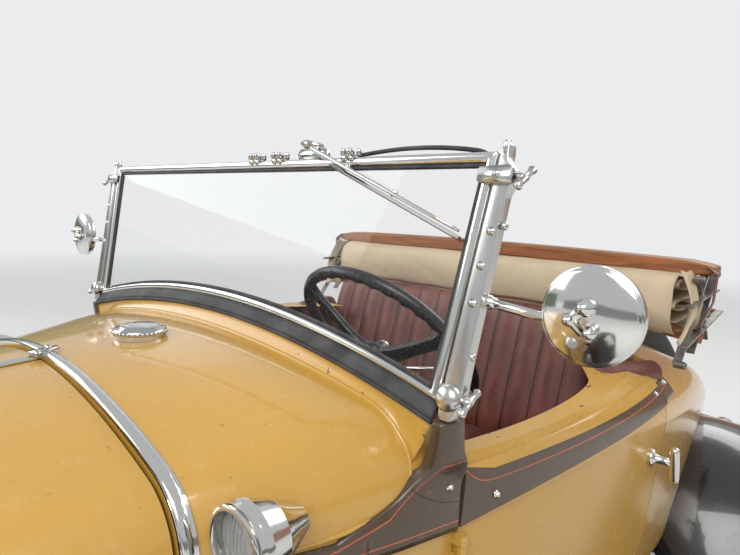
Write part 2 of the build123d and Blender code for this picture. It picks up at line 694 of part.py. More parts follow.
def make_wheels():
    # Spokes: count, where they leave the hub across and out, where they meet the rim, first turn
    spoke_rows = ((15, 30, 42, 6, 0), (15, -24, 60, -6, 12))
    with BuildPart() as wheel:
        with BuildSketch(Plane.XZ) as rim:
            with BuildLine():
                Polyline(*mirrored(RIM_LINE), close=True)
            make_face()
        revolve(axis=Axis.X)
        with BuildSketch(Plane.XZ) as hub:
            with BuildLine():
                Polyline(*HUB_LINE, close=True)
            make_face()
        revolve(axis=Axis.X)
        for count, hub_x, hub_r, rim_x, start in spoke_rows:
            for i in range(count):
                a = radians(360 / count * i + start)
                b = a + radians(9 if i % 2 else -9)
                add(rod((hub_x, hub_r * cos(a), hub_r * sin(a)), (rim_x, 224 * cos(b), 224 * sin(b)), 3.6))
    with BuildPart() as cap:
        with Locations(Location((47, 0, 0), (0, 90, 0))):
            Cylinder(45, 26)
        fillet(cap.edges().sort_by(Axis.X)[-1], 12)
    wheel_part = wheel.part + cap.part
    with BuildPart() as tyre:
        with BuildSketch(Plane.XZ):
            with BuildLine():
                Polyline((0, TYRE_R), *mirrored(TYRE_LINE), close=True)
            make_face()
        revolve(axis=Axis.X)
    # Corner name, side of the car, place along it
    corners = [
        ("front_left", 1, FRONT_AXLE_Y),
        ("front_right", -1, FRONT_AXLE_Y),
        ("rear_left", 1, REAR_AXLE_Y),
        ("rear_right", -1, REAR_AXLE_Y),
    ]
    for name, side, y in corners:
        place = Location((side * TRACK / 2, y, AXLE_Z), (0, 0, 0 if side > 0 else 180))
        keep(wheel_part.moved(place), f"wheel_{name}")
        keep(tyre.part.moved(place), f"tyre_{name}")
    spare = Location((0, TAIL_Y + 92, 700), (0, 0, 90))
    keep(wheel_part.moved(spare), "spare_wheel")
    keep(tyre.part.moved(spare), "spare_tyre")


# Wings and running boards
def wing_section(row, depth, skin=0.0, margin=0.0):
    """One section of a wing: y, z, slope, inner x, outer x, crown, inner drop."""
    y, z, slope, x_in, x_out, crown, drop = row
    a = radians(slope)
    plane = Plane(origin=(0, y, z), x_dir=(1, 0, 0), z_dir=(0, -cos(a), sin(a)))
    start = (x_in, -drop - skin)
    end = (x_out, -crown - skin)
    rim = [end, (x_out, -depth), (x_in, -depth), start]
    if margin:
        foot = -depth - margin
        wide = [(x_out + margin, end[1]), (x_out + margin, foot), (x_in - margin, foot)]
        rim = [end, *wide, (x_in - margin, start[1]), start]
    with BuildSketch(plane) as section:
        with BuildLine():
            ThreePointArc(start, ((x_in + x_out) / 2, -skin), end)
            Polyline(*rim)
        make_face()
    return section.sketch


def wing(rows, skin, depth=150):
    """A crowned sheet: the skin between two lofts through the same sections."""
    with BuildPart() as outer:
        for row in rows:
            add(wing_section(row, depth))
        loft()
    with BuildPart() as inner:
        for row in rows:
            add(wing_section(row, depth, skin, 30))
        loft()
    return outer.part - inner.part


def edge_line(rows, skin):
    """The side view of a wing's inner edge."""
    points = []
    for y, z, slope, _, _, _, drop in rows:
        a = radians(slope)
        points.append((y - (drop + skin) * sin(a), z - (drop + skin) * cos(a)))
    return points


def make_wings():
    # y, z, slope, inner x, outer x, crown, inner drop
    front_rows = [
        (-1968, 430, -84, 560, 800, 40, 30),
        (-1915, 640, -66, 440, 838, 60, 42),
        (-1745, 800, -30, 402, 851, 72, 50),
        (-1500, 850, 0, 402, 851, 78, 55),
        (-1250, 795, 24, 402, 851, 72, 50),
        (-1030, 672, 34, 420, 851, 60, 45),
        (-850, 540, 36, 470, 851, 40, 30),
        (-640, 400, 26, 560, 851, 16, 12),
    ]
    apron = edge_line(front_rows[1:6], 1) + [(-1000, 555), (-1850, 555)]
    with BuildPart() as front_wings:
        add(wing(front_rows, 5))
        add(side_prism(apron, 399, 404))
        for y in (-1480, -1200):
            add(block(332, 402, y - 15, y + 15, RAIL_TOP_Z + RUN_GAP, 563))
    keep(both_sides(front_wings.part), "front_wings")
    rear_rows = [
        (655, 392, -26, 560, 851, 14, 10),
        (722, 462, -58, 540, 851, 34, 20),
        (765, 560, -62, 520, 851, 46, 20),
        (842, 678, -48, 500, 851, 58, 20),
        (970, 772, -26, 490, 851, 66, 20),
        (1129, 806, 0, 480, 851, 70, 20),
        (1290, 772, 26, 470, 851, 66, 20),
        (1425, 672, 46, 460, 848, 58, 20),
        (1515, 540, 64, 460, 838, 46, 18),
        (1556, 400, 78, 460, 815, 32, 14),
    ]
    with BuildPart() as rear_wings:
        add(wing(rear_rows, 5))
        add(arch_loft(REAR_SECTIONS, BODY_FLOOR_Z - 1, -RUN_GAP, -RUN_GAP), mode=Mode.SUBTRACT)
        add(floor_slab(300, BODY_FLOOR_Z), mode=Mode.SUBTRACT)
    keep(both_sides(rear_wings.part), "rear_wings")


def make_boards():
    with BuildPart() as boards:
        add(block(618, 851, -639.7, 654.7, 366, 388))
        with BuildSketch(Plane((0, -639.7, 0), x_dir=(1, 0, 0), z_dir=(0, -1, 0))):
            with BuildLine():
                Polyline((421.5, 547), (421.5, 552), (430, 552), (628, 389), (620, 380), close=True)
            make_face()
        extrude(amount=-(654.7 + 639.7))
        for y in (-420, 480):
            add(block(421.5, 622, y - 20, y + 20, 368, 378))
            add(block(421.5, 429, y - 20, y + 20, 368, 500))
    keep(both_sides(boards.part), "running_boards")


# Inside the body
def floor_slab(low, high):
    """A flat slab with the plan of the body's foot."""
    half = [
        (416, BAND_Y + 2),
        (518, DOOR_FRONT_Y),
        (573, 190),
        (596, DOOR_REAR_Y),
        (584, 900),
        (536, 1250),
        (440, 1655),
    ]
    with BuildPart() as slab:
        with BuildSketch(Plane.XY.offset(low)):
            with BuildLine():
                Polyline(*half, *[(-x, y) for x, y in reversed(half)], close=True)
            make_face()
        extrude(amount=high - low)
    return slab.part


def make_floor():
    low = RAIL_TOP_Z + RUN_GAP
    top = BODY_FLOOR_Z - RUN_GAP
    with BuildPart() as floor:
        add(floor_slab(low, top))
        add(block(-510, 510, 120, 500, top - 1, 740))
        add(block(-470, 470, 168, 452, top, 705), mode=Mode.SUBTRACT)
    keep(floor.part, "floor")


def make_firewall():
    _, half, half_low, top, crown, shoulder = COWL_SECTIONS[0]
    gap = WALL + RUN_GAP
    wall = (half - gap, half_low - gap, top - TOP_SKIN - RUN_GAP, crown - TOP_SKIN, shoulder - TOP_SKIN)
    tank_rows = [
        (BAND_Y + 11, 360, 360, 1148, 1000, 90),
        (DASH_Y - 50, 440, 440, 1158, 1900, 90),
    ]
    x, y, z = STEER_CENTRE
    down = Vector(0, -cos(radians(COLUMN_RAKE)), -sin(radians(COLUMN_RAKE)))
    column = rod((x, y, z), tuple(Vector(x, y, z) + down * 870), COLUMN_R + RUN_GAP)
    with BuildPart() as firewall:
        extrude(arch(BAND_Y + 12, *wall, BODY_FLOOR_Z).sketch, amount=12)
        add(arch_loft(tank_rows, 965, ruled=True))
        add(column, mode=Mode.SUBTRACT)
    keep(firewall.part, "firewall_tank")


def make_dashboard():
    row = (510, 482, 1182, 2100, 90)
    with BuildPart() as dashboard:
        extrude(arch(DASH_Y - 20, *row, 1040).sketch, amount=12)
        with BuildSketch(Plane((0, DASH_Y - 20, 0), x_dir=(1, 0, 0), z_dir=(0, -1, 0))):
            with Locations((0, 1110)):
                SlotOverall(300, 96)
        extrude(amount=-8)
        for x, radius in ((-95, 19), (0, 24), (95, 19)):
            add(rod((x, DASH_Y - 20, 1110), (x, DASH_Y - 6, 1110), radius))
        clear = (WALL + RUN_GAP, TOP_SKIN + RUN_GAP)
        add(arch_loft(COWL_SECTIONS, BODY_FLOOR_Z, *clear), mode=Mode.INTERSECT)
    keep(dashboard.part, "dashboard")


def make_seats():
    with BuildPart() as cushion:
        add(block(-520, 520, 105, 500, 740.3, 870))
        fillet(cushion.edges().filter_by(Axis.X), 26)
    keep(cushion.part, "seat_cushion")
    with BuildPart() as back:
        add(side_prism(SEAT_BACK_LINE, -530, 530))
    keep(back.part, "seat_back")
    with BuildPart() as rumble_cushion:
        add(block(-360, 360, 960, 1330, 575, 690))
    keep(rumble_cushion.part, "rumble_cushion")


# Folded top
def make_top():
    with BuildPart() as folded:
        add(side_prism(FOLDED_LINE, -590, 590))
        add(arch_loft(REAR_SECTIONS, BODY_FLOOR_Z, -RUN_GAP, -RUN_GAP), mode=Mode.SUBTRACT)
    keep(folded.part, "folded_top")
    with BuildPart() as bows:
        add(block(-HEADER_HALF, HEADER_HALF, 744, 820, 1300.3, 1335))
        chamfer(bows.edges().filter_by(Axis.X), 5)
        add(rod((-630, 848, 1312), (630, 848, 1312), 11.5))
        add(block(-20, 20, 815, 848, 1304, 1320))
    keep(bows.part, "top_bows")
    with BuildPart() as irons:
        for x, start, end in IRON_BARS:
            (y0, z0), (y1, z1) = start, end
            long = sqrt((y1 - y0) ** 2 + (z1 - z0) ** 2)
            across, up = (z1 - z0) / long * 9, (y1 - y0) / long * 9
            line = [
                (y0 - across, z0 + up),
                (y0 + across, z0 - up),
                (y1 + across, z1 - up),
                (y1 - across, z1 + up),
            ]
            add(side_prism(line, x, x + 5))
        for y, z in IRON_PINS:
            add(rod((602, y, z), (622, y, z), 7))
        add(arch_loft(REAR_SECTIONS, BODY_FLOOR_Z, -RUN_GAP, -RUN_GAP), mode=Mode.SUBTRACT)
    keep(both_sides(irons.part), "top_irons")


# Windscreen
def make_screen():
    lean = radians(SCREEN_LEAN)
    plane = Plane(origin=SCREEN_BASE, x_dir=(1, 0, 0), z_dir=(0, -cos(lean), sin(lean)))
    half, high, crown, bar = SCREEN_HALF, SCREEN_HEIGHT, SCREEN_CROWN, SCREEN_BAR
    top_half = half + SCREEN_FLARE
    slope = SCREEN_FLARE / high

    def outline(inset):
        with BuildLine() as edge:
            low_x = half + slope * inset - inset
            high_x = top_half - slope * inset - inset
            ThreePointArc((-low_x, inset), (0, crown + inset), (low_x, inset))
            Line((low_x, inset), (high_x, high - inset))
            Line((high_x, high - inset), (-high_x, high - inset))
            Line((-high_x, high - inset), (-low_x, inset))
        return edge.line

    def spot(x, y, out=0.0):
        return tuple(plane.from_local_coords(Vector(x, y, out)))

    with BuildPart() as frame:
        with BuildSketch(plane):
            add(outline(0))
            make_face()
            with BuildSketch(mode=Mode.SUBTRACT):
                add(outline(bar))
                make_face()
        extrude(amount=SCREEN_DEPTH / 2, both=True)
        with BuildSketch(plane):
            with BuildLine():
                ThreePointArc((-SEAL_HALF, 10), (0, crown + 5), (SEAL_HALF, 10))
                Line((SEAL_HALF, 10), (SEAL_HALF, -40))
                Line((SEAL_HALF, -40), (-SEAL_HALF, -40))
                Line((-SEAL_HALF, -40), (-SEAL_HALF, 10))
            make_face()
        extrude(amount=4, both=True)
        add(arch_loft(COWL_SECTIONS, BODY_FLOOR_Z, -RUN_GAP, -RUN_GAP), mode=Mode.SUBTRACT)
        add(rod(spot(190, high - 6, 5), spot(190, high - 6, 30), 9))
        add(rod(spot(192, high - 8, 22), spot(520, 230, 22), 3))
    keep(frame.part, "windscreen_frame")
    with BuildPart() as glass:
        with BuildSketch(plane):
            add(outline(bar + RUN_GAP))
            make_face()
        extrude(amount=GLASS / 2, both=True)
    keep(glass.part, "windscreen_glass")
    # Places along a post, up the screen: its foot, the clamp, its tip and the mirror's arm
    foot_v, clamp_v, tip_v, arm_v = -20, 300, high + 12, 146
    # One post seen square to the screen: out from the frame's edge, and up
    post_line = [
        (5, foot_v),
        (30, foot_v),
        (35, 12),
        (30, 50),
        (24, clamp_v - 10),
        (30, clamp_v),
        (30, clamp_v + 18),
        (16, clamp_v + 28),
        (14, tip_v),
        (7, tip_v),
        (5, clamp_v + 28),
    ]
    with BuildPart() as posts:
        with BuildSketch(plane):
            with BuildLine():
                Polyline(*[(half + slope * v + out, v) for out, v in post_line], close=True)
            make_face()
        extrude(amount=11, both=True)
        add(rod(spot(half + 20, 12, -19), spot(half + 20, 12, 24), 17))
        with BuildSketch(plane.offset(SCREEN_DEPTH / 2 + RUN_GAP)):
            with Locations((half + slope * clamp_v + 4, clamp_v + 9)):
                Rectangle(46, 20)
        extrude(amount=7)
        start = spot(half + slope * arm_v + 12, arm_v)
        end = spot(half + slope * arm_v + 172, arm_v - 14, 4)
        add(rod(start, end, 6))
        x, y, z = end
        z += 16
        add(rod((x, y - 22, z - 16), (x, y - 6, z), 8.5))
        add(rod((x, y - 24, z), (x, y - 8, z), 11))
        with BuildSketch(Plane.YZ.offset(x)):
            with BuildLine():
                Polyline(
                    (y - 13, z),
                    (y - 12, z + 22),
                    (y - 8, z + 45),
                    (y - 1, z + MIRROR_R - 2),
                    (y + 4, z + MIRROR_R),
                    (y + 11, z + MIRROR_R - 1),
                    (y + 11, z),
                    close=True,
                )
            make_face()
        revolve(axis=Axis((x, y, z), (0, 1, 0)))
    keep(both_sides(posts.part), "windscreen_posts")


# Bright trim on the cowl
def make_trim():
    cap_y = -380
    cap_top = 1203
    with BuildPart() as band:
        add(arch_loft(COWL_SECTIONS, BODY_FLOOR_Z, -4, -4))
        add(block(-700, 700, BAND_Y, BAND_Y + BAND_WIDTH, BODY_FLOOR_Z, 1300), mode=Mode.INTERSECT)
    with BuildPart() as trim:
        add(band.part)
        add(rod((0, cap_y, 1150), (0, cap_y, cap_top), 44))
        add(block(-14, 14, BAND_Y - 4.5, BAND_Y + 6, 1173, 1189))
        add(rod((0, SHELL_REAR_Y + RUN_GAP, SHELL_TOP_Z - 4), (0, BAND_Y, 1179), HINGE_ROD_R))
        add(arch_loft(COWL_SECTIONS, BODY_FLOOR_Z - 1, -RUN_GAP, -RUN_GAP), mode=Mode.SUBTRACT)
    keep(trim.part, "cowl_trim")


def belt_skin(rows):
    """A thin raised skin over the body, for the belt moulding."""
    raised = arch_loft(rows, BODY_FLOOR_Z, -BELT_RAISE, -BELT_RAISE)
    return raised - arch_loft(rows, BODY_FLOOR_Z - 1, -RUN_GAP, -RUN_GAP)


def make_belt():
    front = BAND_Y + BAND_WIDTH + RUN_GAP
    rear = DOOR_FRONT_Y - 1
    # Side view of the moulding on the cowl, with its sweep up to the windscreen's foot
    cowl_line = [
        (front, BELT_LOW_Z), (rear, BELT_LOW_Z), (rear, 1085), (-238, 1085), (-310, 1016), (front, 1012),
    ]
    foot_line = [
        (-310, 1000), (rear, 1000), (rear, 1083), (-190, 1100), (-196, 1153.2), (-244, 1153.2), (-262, 1110),
        (-280, 1060),
    ]
    # Front view of the same foot, from the cowl's shoulder out to the post
    foot_face = [(500, 1000), (542, 1000), (556, 1060), (577, 1105), (577, 1160), (547, 1160), (500, 1060)]
    near, far = DOOR_REAR_Y + 1, DOOR_REAR_Y + 95
    quarter_line = [(near, 1013), (far, 1016), (far, 1068), (near, 1068)]
    with BuildPart() as belt:
        add(belt_skin(COWL_SECTIONS))
        add(side_prism(cowl_line, 380, 700), mode=Mode.INTERSECT)
    with BuildPart() as foot:
        with BuildSketch(Plane((0, rear, 0), x_dir=(1, 0, 0), z_dir=(0, -1, 0))):
            with BuildLine():
                Polyline(*foot_face, close=True)
            make_face()
        extrude(amount=150)
        add(side_prism(foot_line, 490, 590), mode=Mode.INTERSECT)
        add(arch_loft(COWL_SECTIONS, BODY_FLOOR_Z - 1, -RUN_GAP, -RUN_GAP), mode=Mode.SUBTRACT)
    with BuildPart() as rear_belt:
        add(belt_skin(REAR_SECTIONS))
        add(side_prism(quarter_line, 570, 700), mode=Mode.INTERSECT)
    keep(both_sides(belt.part + foot.part + rear_belt.part), "belt_moulding")


# Lamps
def make_lamps():
    # Across, front edge, height, radius, depth
    lamp_rows = [(330, -1700, 870, 112, 190), (503, -511, 1072, 47, 100)]

    def bucket(x, y, z, radius, depth):
        with BuildPart() as shell:
            with BuildSketch(Plane.YZ.offset(x)):
                with BuildLine():
                    Polyline(
                        (y + 12, z),
                        (y + 12, z + radius - 4),
                        (y, z + radius - 4),
                        (y, z + radius),
                        (y + 14, z + radius),
                        (y + depth * 0.45, z + radius * 0.8),
                        (y + depth * 0.85, z + radius * 0.4),
                        (y + depth, z),
                        close=True,
                    )
                make_face()
            revolve(axis=Axis((x, y, z), (0, 1, 0)))
        return shell.part

    def lens(x, y, z, radius, depth):
        with BuildPart() as glass:
            with BuildSketch(Plane.YZ.offset(x)):
                with BuildLine():
                    Polyline(
                        (y + 12 - RUN_GAP, z),
                        (y + 12 - RUN_GAP, z + radius - 4 - RUN_GAP),
                        (y + 6, z + radius * 0.8),
                        (y + 1, z + radius * 0.4),
                        (y, z),
                        close=True,
                    )
                make_face()
            revolve(axis=Axis((x, y, z), (0, 1, 0)))
        return glass.part

    with BuildPart() as lamps:
        for row in lamp_rows:
            add(bucket(*row))
        add(rod((0, -1600, 740), (398.7, -1600, 740), 14))
        add(rod((330, -1600, 740), (330, -1612, 800), 10))
        add(rod((503, -465, 1056), (430, -494, 992), 9))
        add(rod((430, 1600, 640), (560, 1600, 640), 9))
        add(rod((560, 1580, 640), (560, 1640, 640), 38))
        clear = -BELT_RAISE - RUN_GAP
        add(arch_loft(COWL_SECTIONS, BODY_FLOOR_Z, clear, clear), mode=Mode.SUBTRACT)
        add(arch_loft(REAR_SECTIONS, BODY_FLOOR_Z, -RUN_GAP, -RUN_GAP), mode=Mode.SUBTRACT)
    keep(both_sides(lamps.part), "lamps")
    with BuildPart() as lenses:
        for row in lamp_rows:
            add(lens(*row))
    keep(both_sides(lenses.part), "lamp_lenses")


# Outer fittings
def make_bumpers():
    reach = 2095
    with BuildPart() as bumpers:
        for end, half in ((-1, 810), (1, 740)):
            for z in (440, 510):
                outer, inner = end * (reach - 70), end * (reach - 79)
                with BuildSketch(Plane.XY.offset(z - 25)):
                    with BuildLine():
                        ThreePointArc((-half, outer), (0, end * reach), (half, outer))
                        Line((half, outer), (half, inner))
                        ThreePointArc((half, inner), (0, end * (reach - 9)), (-half, inner))
                        Line((-half, inner), (-half, outer))
                    make_face()
                extrude(amount=50)
            back = (RAIL_FRONT_X + RAIL_WIDTH / 2 if end < 0 else RAIL_REAR_X + RAIL_WIDTH / 2) + RUN_GAP
            rail_end = RAIL_FRONT_Y + 90 if end < 0 else RAIL_REAR_Y - 90
            iron = sorted((end * (reach - 26), rail_end))
            plate = sorted((end * (reach - 40), end * (reach - 18)))
            for side in (1, -1):
                add(side_block(side, back, back + 10, *iron, 470, 505))
                add(side_block(side, back - 10, back + 20, *plate, 420, 530))
                hole_x = side * (back + 5)
                hole = rod((hole_x, end * (reach - 90), 475), (hole_x, end * reach, 475), TOW_HOLE_R)
                add(hole, mode=Mode.SUBTRACT)
    keep(bumpers.part, "bumpers")


def make_spare_carrier():
    with BuildPart() as carrier:
        add(rod((0, TAIL_Y + 0.3, 700), (0, TAIL_Y + 44.7, 700), 60))
    keep(carrier.part, "spare_carrier")


def make_exhaust():
    x = -290
    # Start, end, radius
    runs = [
        ((-178, -900, 600), (x, -700, 440), 22),
        ((x, -715, 440), (x, 300, 440), 22),
        ((x, 300, 440), (x, 800, 440), 48),
        ((x, 800, 440), (x, 990, 292), 18),
        ((x, 975, 292), (x, 1560, 292), 18),
    ]
    with BuildPart() as exhaust:
        for start, end, radius in runs:
            add(rod(start, end, radius))
    keep(exhaust.part, "exhaust")


def main():
    os.makedirs("parts", exist_ok=True)
    make_body()
    make_bonnet()
    make_radiator()
    make_frame()
    make_engine()
    make_axles()
    make_steering()
    make_wheels()
    make_wings()
    make_boards()
    make_floor()
    make_firewall()
    make_dashboard()
    make_seats()
    make_top()
    make_screen()
    make_trim()
    make_belt()
    make_lamps()
    make_bumpers()
    make_spare_carrier()
    make_exhaust()


main()
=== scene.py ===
"""Surfaces, soft pieces and small fittings of an open roadster car of about 1930, in metres.

X points to the car's own left, Y to its rear and Z up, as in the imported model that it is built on.
"""

import json
from math import cos, pi, radians, sin, sqrt

import bmesh
import bpy
from mathutils import Matrix, Vector, noise

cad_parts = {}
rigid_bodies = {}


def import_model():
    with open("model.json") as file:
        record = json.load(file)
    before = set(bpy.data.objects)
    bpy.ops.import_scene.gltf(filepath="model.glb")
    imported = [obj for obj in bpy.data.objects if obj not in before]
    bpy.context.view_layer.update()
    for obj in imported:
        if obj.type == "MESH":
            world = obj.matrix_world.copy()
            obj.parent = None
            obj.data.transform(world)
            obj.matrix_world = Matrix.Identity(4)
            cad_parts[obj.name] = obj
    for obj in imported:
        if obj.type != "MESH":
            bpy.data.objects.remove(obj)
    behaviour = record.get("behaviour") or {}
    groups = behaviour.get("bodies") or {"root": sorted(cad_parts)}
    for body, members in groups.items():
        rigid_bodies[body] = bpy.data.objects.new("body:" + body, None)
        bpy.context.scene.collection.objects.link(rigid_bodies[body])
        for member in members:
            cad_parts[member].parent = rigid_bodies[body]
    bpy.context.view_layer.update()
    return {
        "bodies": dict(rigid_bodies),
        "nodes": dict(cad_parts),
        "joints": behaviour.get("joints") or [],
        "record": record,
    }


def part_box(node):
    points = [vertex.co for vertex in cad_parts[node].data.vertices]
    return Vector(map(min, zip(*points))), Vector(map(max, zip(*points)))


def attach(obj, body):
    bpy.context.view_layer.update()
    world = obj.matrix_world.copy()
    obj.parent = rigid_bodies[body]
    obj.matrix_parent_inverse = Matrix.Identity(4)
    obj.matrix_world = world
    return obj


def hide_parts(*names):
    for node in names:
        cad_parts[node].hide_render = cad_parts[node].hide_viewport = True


bl_info = {
    "name": "Open Roadster Car",
    "version": (1, 0, 0),
    "blender": (4, 5, 0),
    "location": "3D View > Sidebar > Roadster",
    "description": "Adds the surfaces, soft pieces and fittings of an open roadster car",
    "category": "Add Mesh",
}

MATERIALS = {}
FRAME = {}
SIDES = ((1, "left"), (-1, "right"))

# The windscreen's plane: the middle of its foot, and how far it leans back
SCREEN_BASE = Vector((0, -0.222, 1.176))
SCREEN_LEAN = radians(11)
SCREEN_HALF = 0.55
SCREEN_FLARE = 0.03
SCREEN_HEIGHT = 0.344
SCREEN_CROWN = 0.066
SCREEN_SLOPE = SCREEN_FLARE / SCREEN_HEIGHT

# Where the bead crosses the cowl: its place along the car and half its width
BEAD_ALONG = -0.2435
BEAD_HALF = 0.488

# The heights between which the belt stands on the doors, in front of them and behind them
DOOR_BELT = (0.973, 1.0515)
FRONT_BELT = (0.973, 1.0125)
REAR_BELT = (1.0135, 1.0515)

SAME = 1e-5  # Points that are nearer to each other than this are one

# The photo's camera: its place, its turns (to the left of straight back, down, and roll) and its lens in millimetres
CAMERA_PLACE = (0.9804, -0.8320, 1.4391)
CAMERA_TURNS = (radians(42.94), radians(7.38), radians(2.06))
CAMERA_LENS = 27.652

CARD_AIM = Vector((0, 0, 1.0))  # What the studio's reflected cards face
LAMP_AIM = Vector((0, 0, 0.9))  # What its lamps face
NARROWEST = 0.004  # The least that is left beside the pleats for a strip of its own
PAD_POINTS = 60  # Points round a seat pad's outline
PLEAT_STEPS = 10  # Loops of points across one pleat
PUFF_FRAMES = 20  # Frames over which a pad's filling swells, with this pressure and no further than the cap
PUFF_PRESSURE = 4.0
PUFF_CAP = 0.010

# The body's sections: along, half width, crown height, crown radius, shoulder radius
BODY_SECTIONS = (
    (-0.540, 0.436, 1.180, 1.120, 0.095),
    (-0.350, 0.506, 1.190, 1.900, 0.110),
    (-0.165, 0.552, 1.196, 2.900, 0.120),
    (0.190, 0.612, 1.180, 2.600, 0.115),
    (0.545, 0.636, 1.138, 2.600, 0.110),
    (0.900, 0.620, 1.098, 2.200, 0.105),
    (1.250, 0.566, 1.022, 1.600, 0.100),
    (1.500, 0.512, 0.916, 1.300, 0.095),
)


def steps(low, high, count):
    """A number of even steps from low to high, both ends included."""
    return [low + (high - low) * i / count for i in range(count + 1)]


def between(rows, place):
    """The row at a place along a table whose first column is that place."""
    for low, high in zip(rows, rows[1:]):
        if place <= high[0]:
            break
    share = min(max((place - low[0]) / (high[0] - low[0]), 0.0), 1.0)
    return [a + (b - a) * share for a, b in zip(low, high)]


def screen_spot(across, up, out=0.0):
    """A point on the windscreen's plane, or in front of it."""
    c, s = cos(SCREEN_LEAN), sin(SCREEN_LEAN)
    return SCREEN_BASE + Vector((across, up * s - out * c, up * c + out * s))


def post_spot(side, out, up, deep=0.0):
    """A point by a post: how far out of the windscreen's edge, how far up it and how far in front of it."""
    return screen_spot(side * (SCREEN_HALF + SCREEN_SLOPE * up + out), up, deep)


def screen_foot(across):
    """How far the windscreen's lower edge stands above its plane's foot."""
    bend = (SCREEN_HALF**2 + SCREEN_CROWN**2) / (2 * SCREEN_CROWN)
    return SCREEN_CROWN - bend + sqrt(bend**2 - across**2)


def cowl_height(across, along):
    """The height of the cowl's skin."""
    _, half, top, crown, shoulder = between(BODY_SECTIONS, along)
    across = abs(across)
    centre = top - crown
    inner = half - shoulder
    reach = crown - shoulder
    middle_z = centre + sqrt(reach**2 - inner**2)
    edge = inner * crown / reach
    if across <= edge:
        return centre + sqrt(crown**2 - across**2)
    side = min(across - inner, shoulder)
    return middle_z + sqrt(shoulder**2 - side**2)


def body_side(along, height):
    """How far out the body's side stands at a height."""
    _, half, top, crown, shoulder = between(BODY_SECTIONS, along)
    side_z = top - crown + sqrt((crown - shoulder) ** 2 - (half - shoulder) ** 2)
    rise = min(max(height - side_z, 0.0), shoulder)
    return half - shoulder + sqrt(shoulder**2 - rise**2)


def screen_outline(inset):
    """The windscreen's outline at an inset, as pairs of across and up, crowded at the corners."""
    low = SCREEN_HALF + SCREEN_SLOPE * inset - inset
    high = SCREEN_HALF + SCREEN_FLARE - SCREEN_SLOPE * inset - inset
    bend = (low**2 + SCREEN_CROWN**2) / (2 * SCREEN_CROWN)
    shares = [0.0, 0.004, *[i / 24 for i in range(1, 24)], 0.996]
    points = []
    for share in shares:
        across = low * (2 * share - 1)
        points.append((across, inset + SCREEN_CROWN - bend + sqrt(bend**2 - across**2)))
    sides = [(low, inset), (high, SCREEN_HEIGHT - inset), (-high, SCREEN_HEIGHT - inset), (-low, inset)]
    for (x0, y0), (x1, y1) in zip(sides, sides[1:]):
        points += [(x0 + (x1 - x0) * share, y0 + (y1 - y0) * share) for share in (0.0, 0.01, 0.3, 0.7, 0.99)]
    return points


def bead_path():
    """The left half of the bead round the cowl, from the middle under the windscreen forward along the belt."""
    forward = curve_through(
        [
            (BEAD_ALONG, 1.112), (-0.2450, 1.090), (-0.2530, 1.066), (-0.2680, 1.049), (-0.2900, 1.036),
            (-0.3250, 1.0270), (-0.3700, 1.0205), (-0.4300, 1.0180), (-0.5150, 1.0175),
        ],
        5,
    )
    over = [Vector((x, BEAD_ALONG, cowl_height(x, BEAD_ALONG))) for x in steps(0, BEAD_HALF, 29)]
    return over + [Vector((body_side(y, z), y, z)) for y, z in forward]


def curve_through(rows, parts):
    """Rows of numbers with smooth ones put in between."""
    rows = [Vector(row) for row in rows]
    smooth = []
    for i in range(len(rows) - 1):
        before, start, end, after = [rows[max(0, min(len(rows) - 1, i + k))] for k in (-1, 0, 1, 2)]
        for step in range(parts):
            t = step / parts
            straight = start * 2 + (end - before) * t
            second = (before * 2 - start * 5 + end * 4 - after) * t**2
            third = (start * 3 - before - end * 3 + after) * t**3
            smooth.append((straight + second + third) / 2)
    return [*smooth, rows[-1]]


def rounded(points, radius, parts=3):
    """A closed outline with its corners cut round."""
    points = [Vector(p) for p in points]
    outline = []
    for i, corner in enumerate(points):
        before, after = points[i - 1] - corner, points[(i + 1) % len(points)] - corner
        start = corner + before.normalized() * min(radius, before.length * 0.45)
        end = corner + after.normalized() * min(radius, after.length * 0.45)
        for t in steps(0, 1, parts):
            outline.append(start * (1 - t) ** 2 + corner * 2 * t * (1 - t) + end * t**2)
    return outline


# Shader patterns


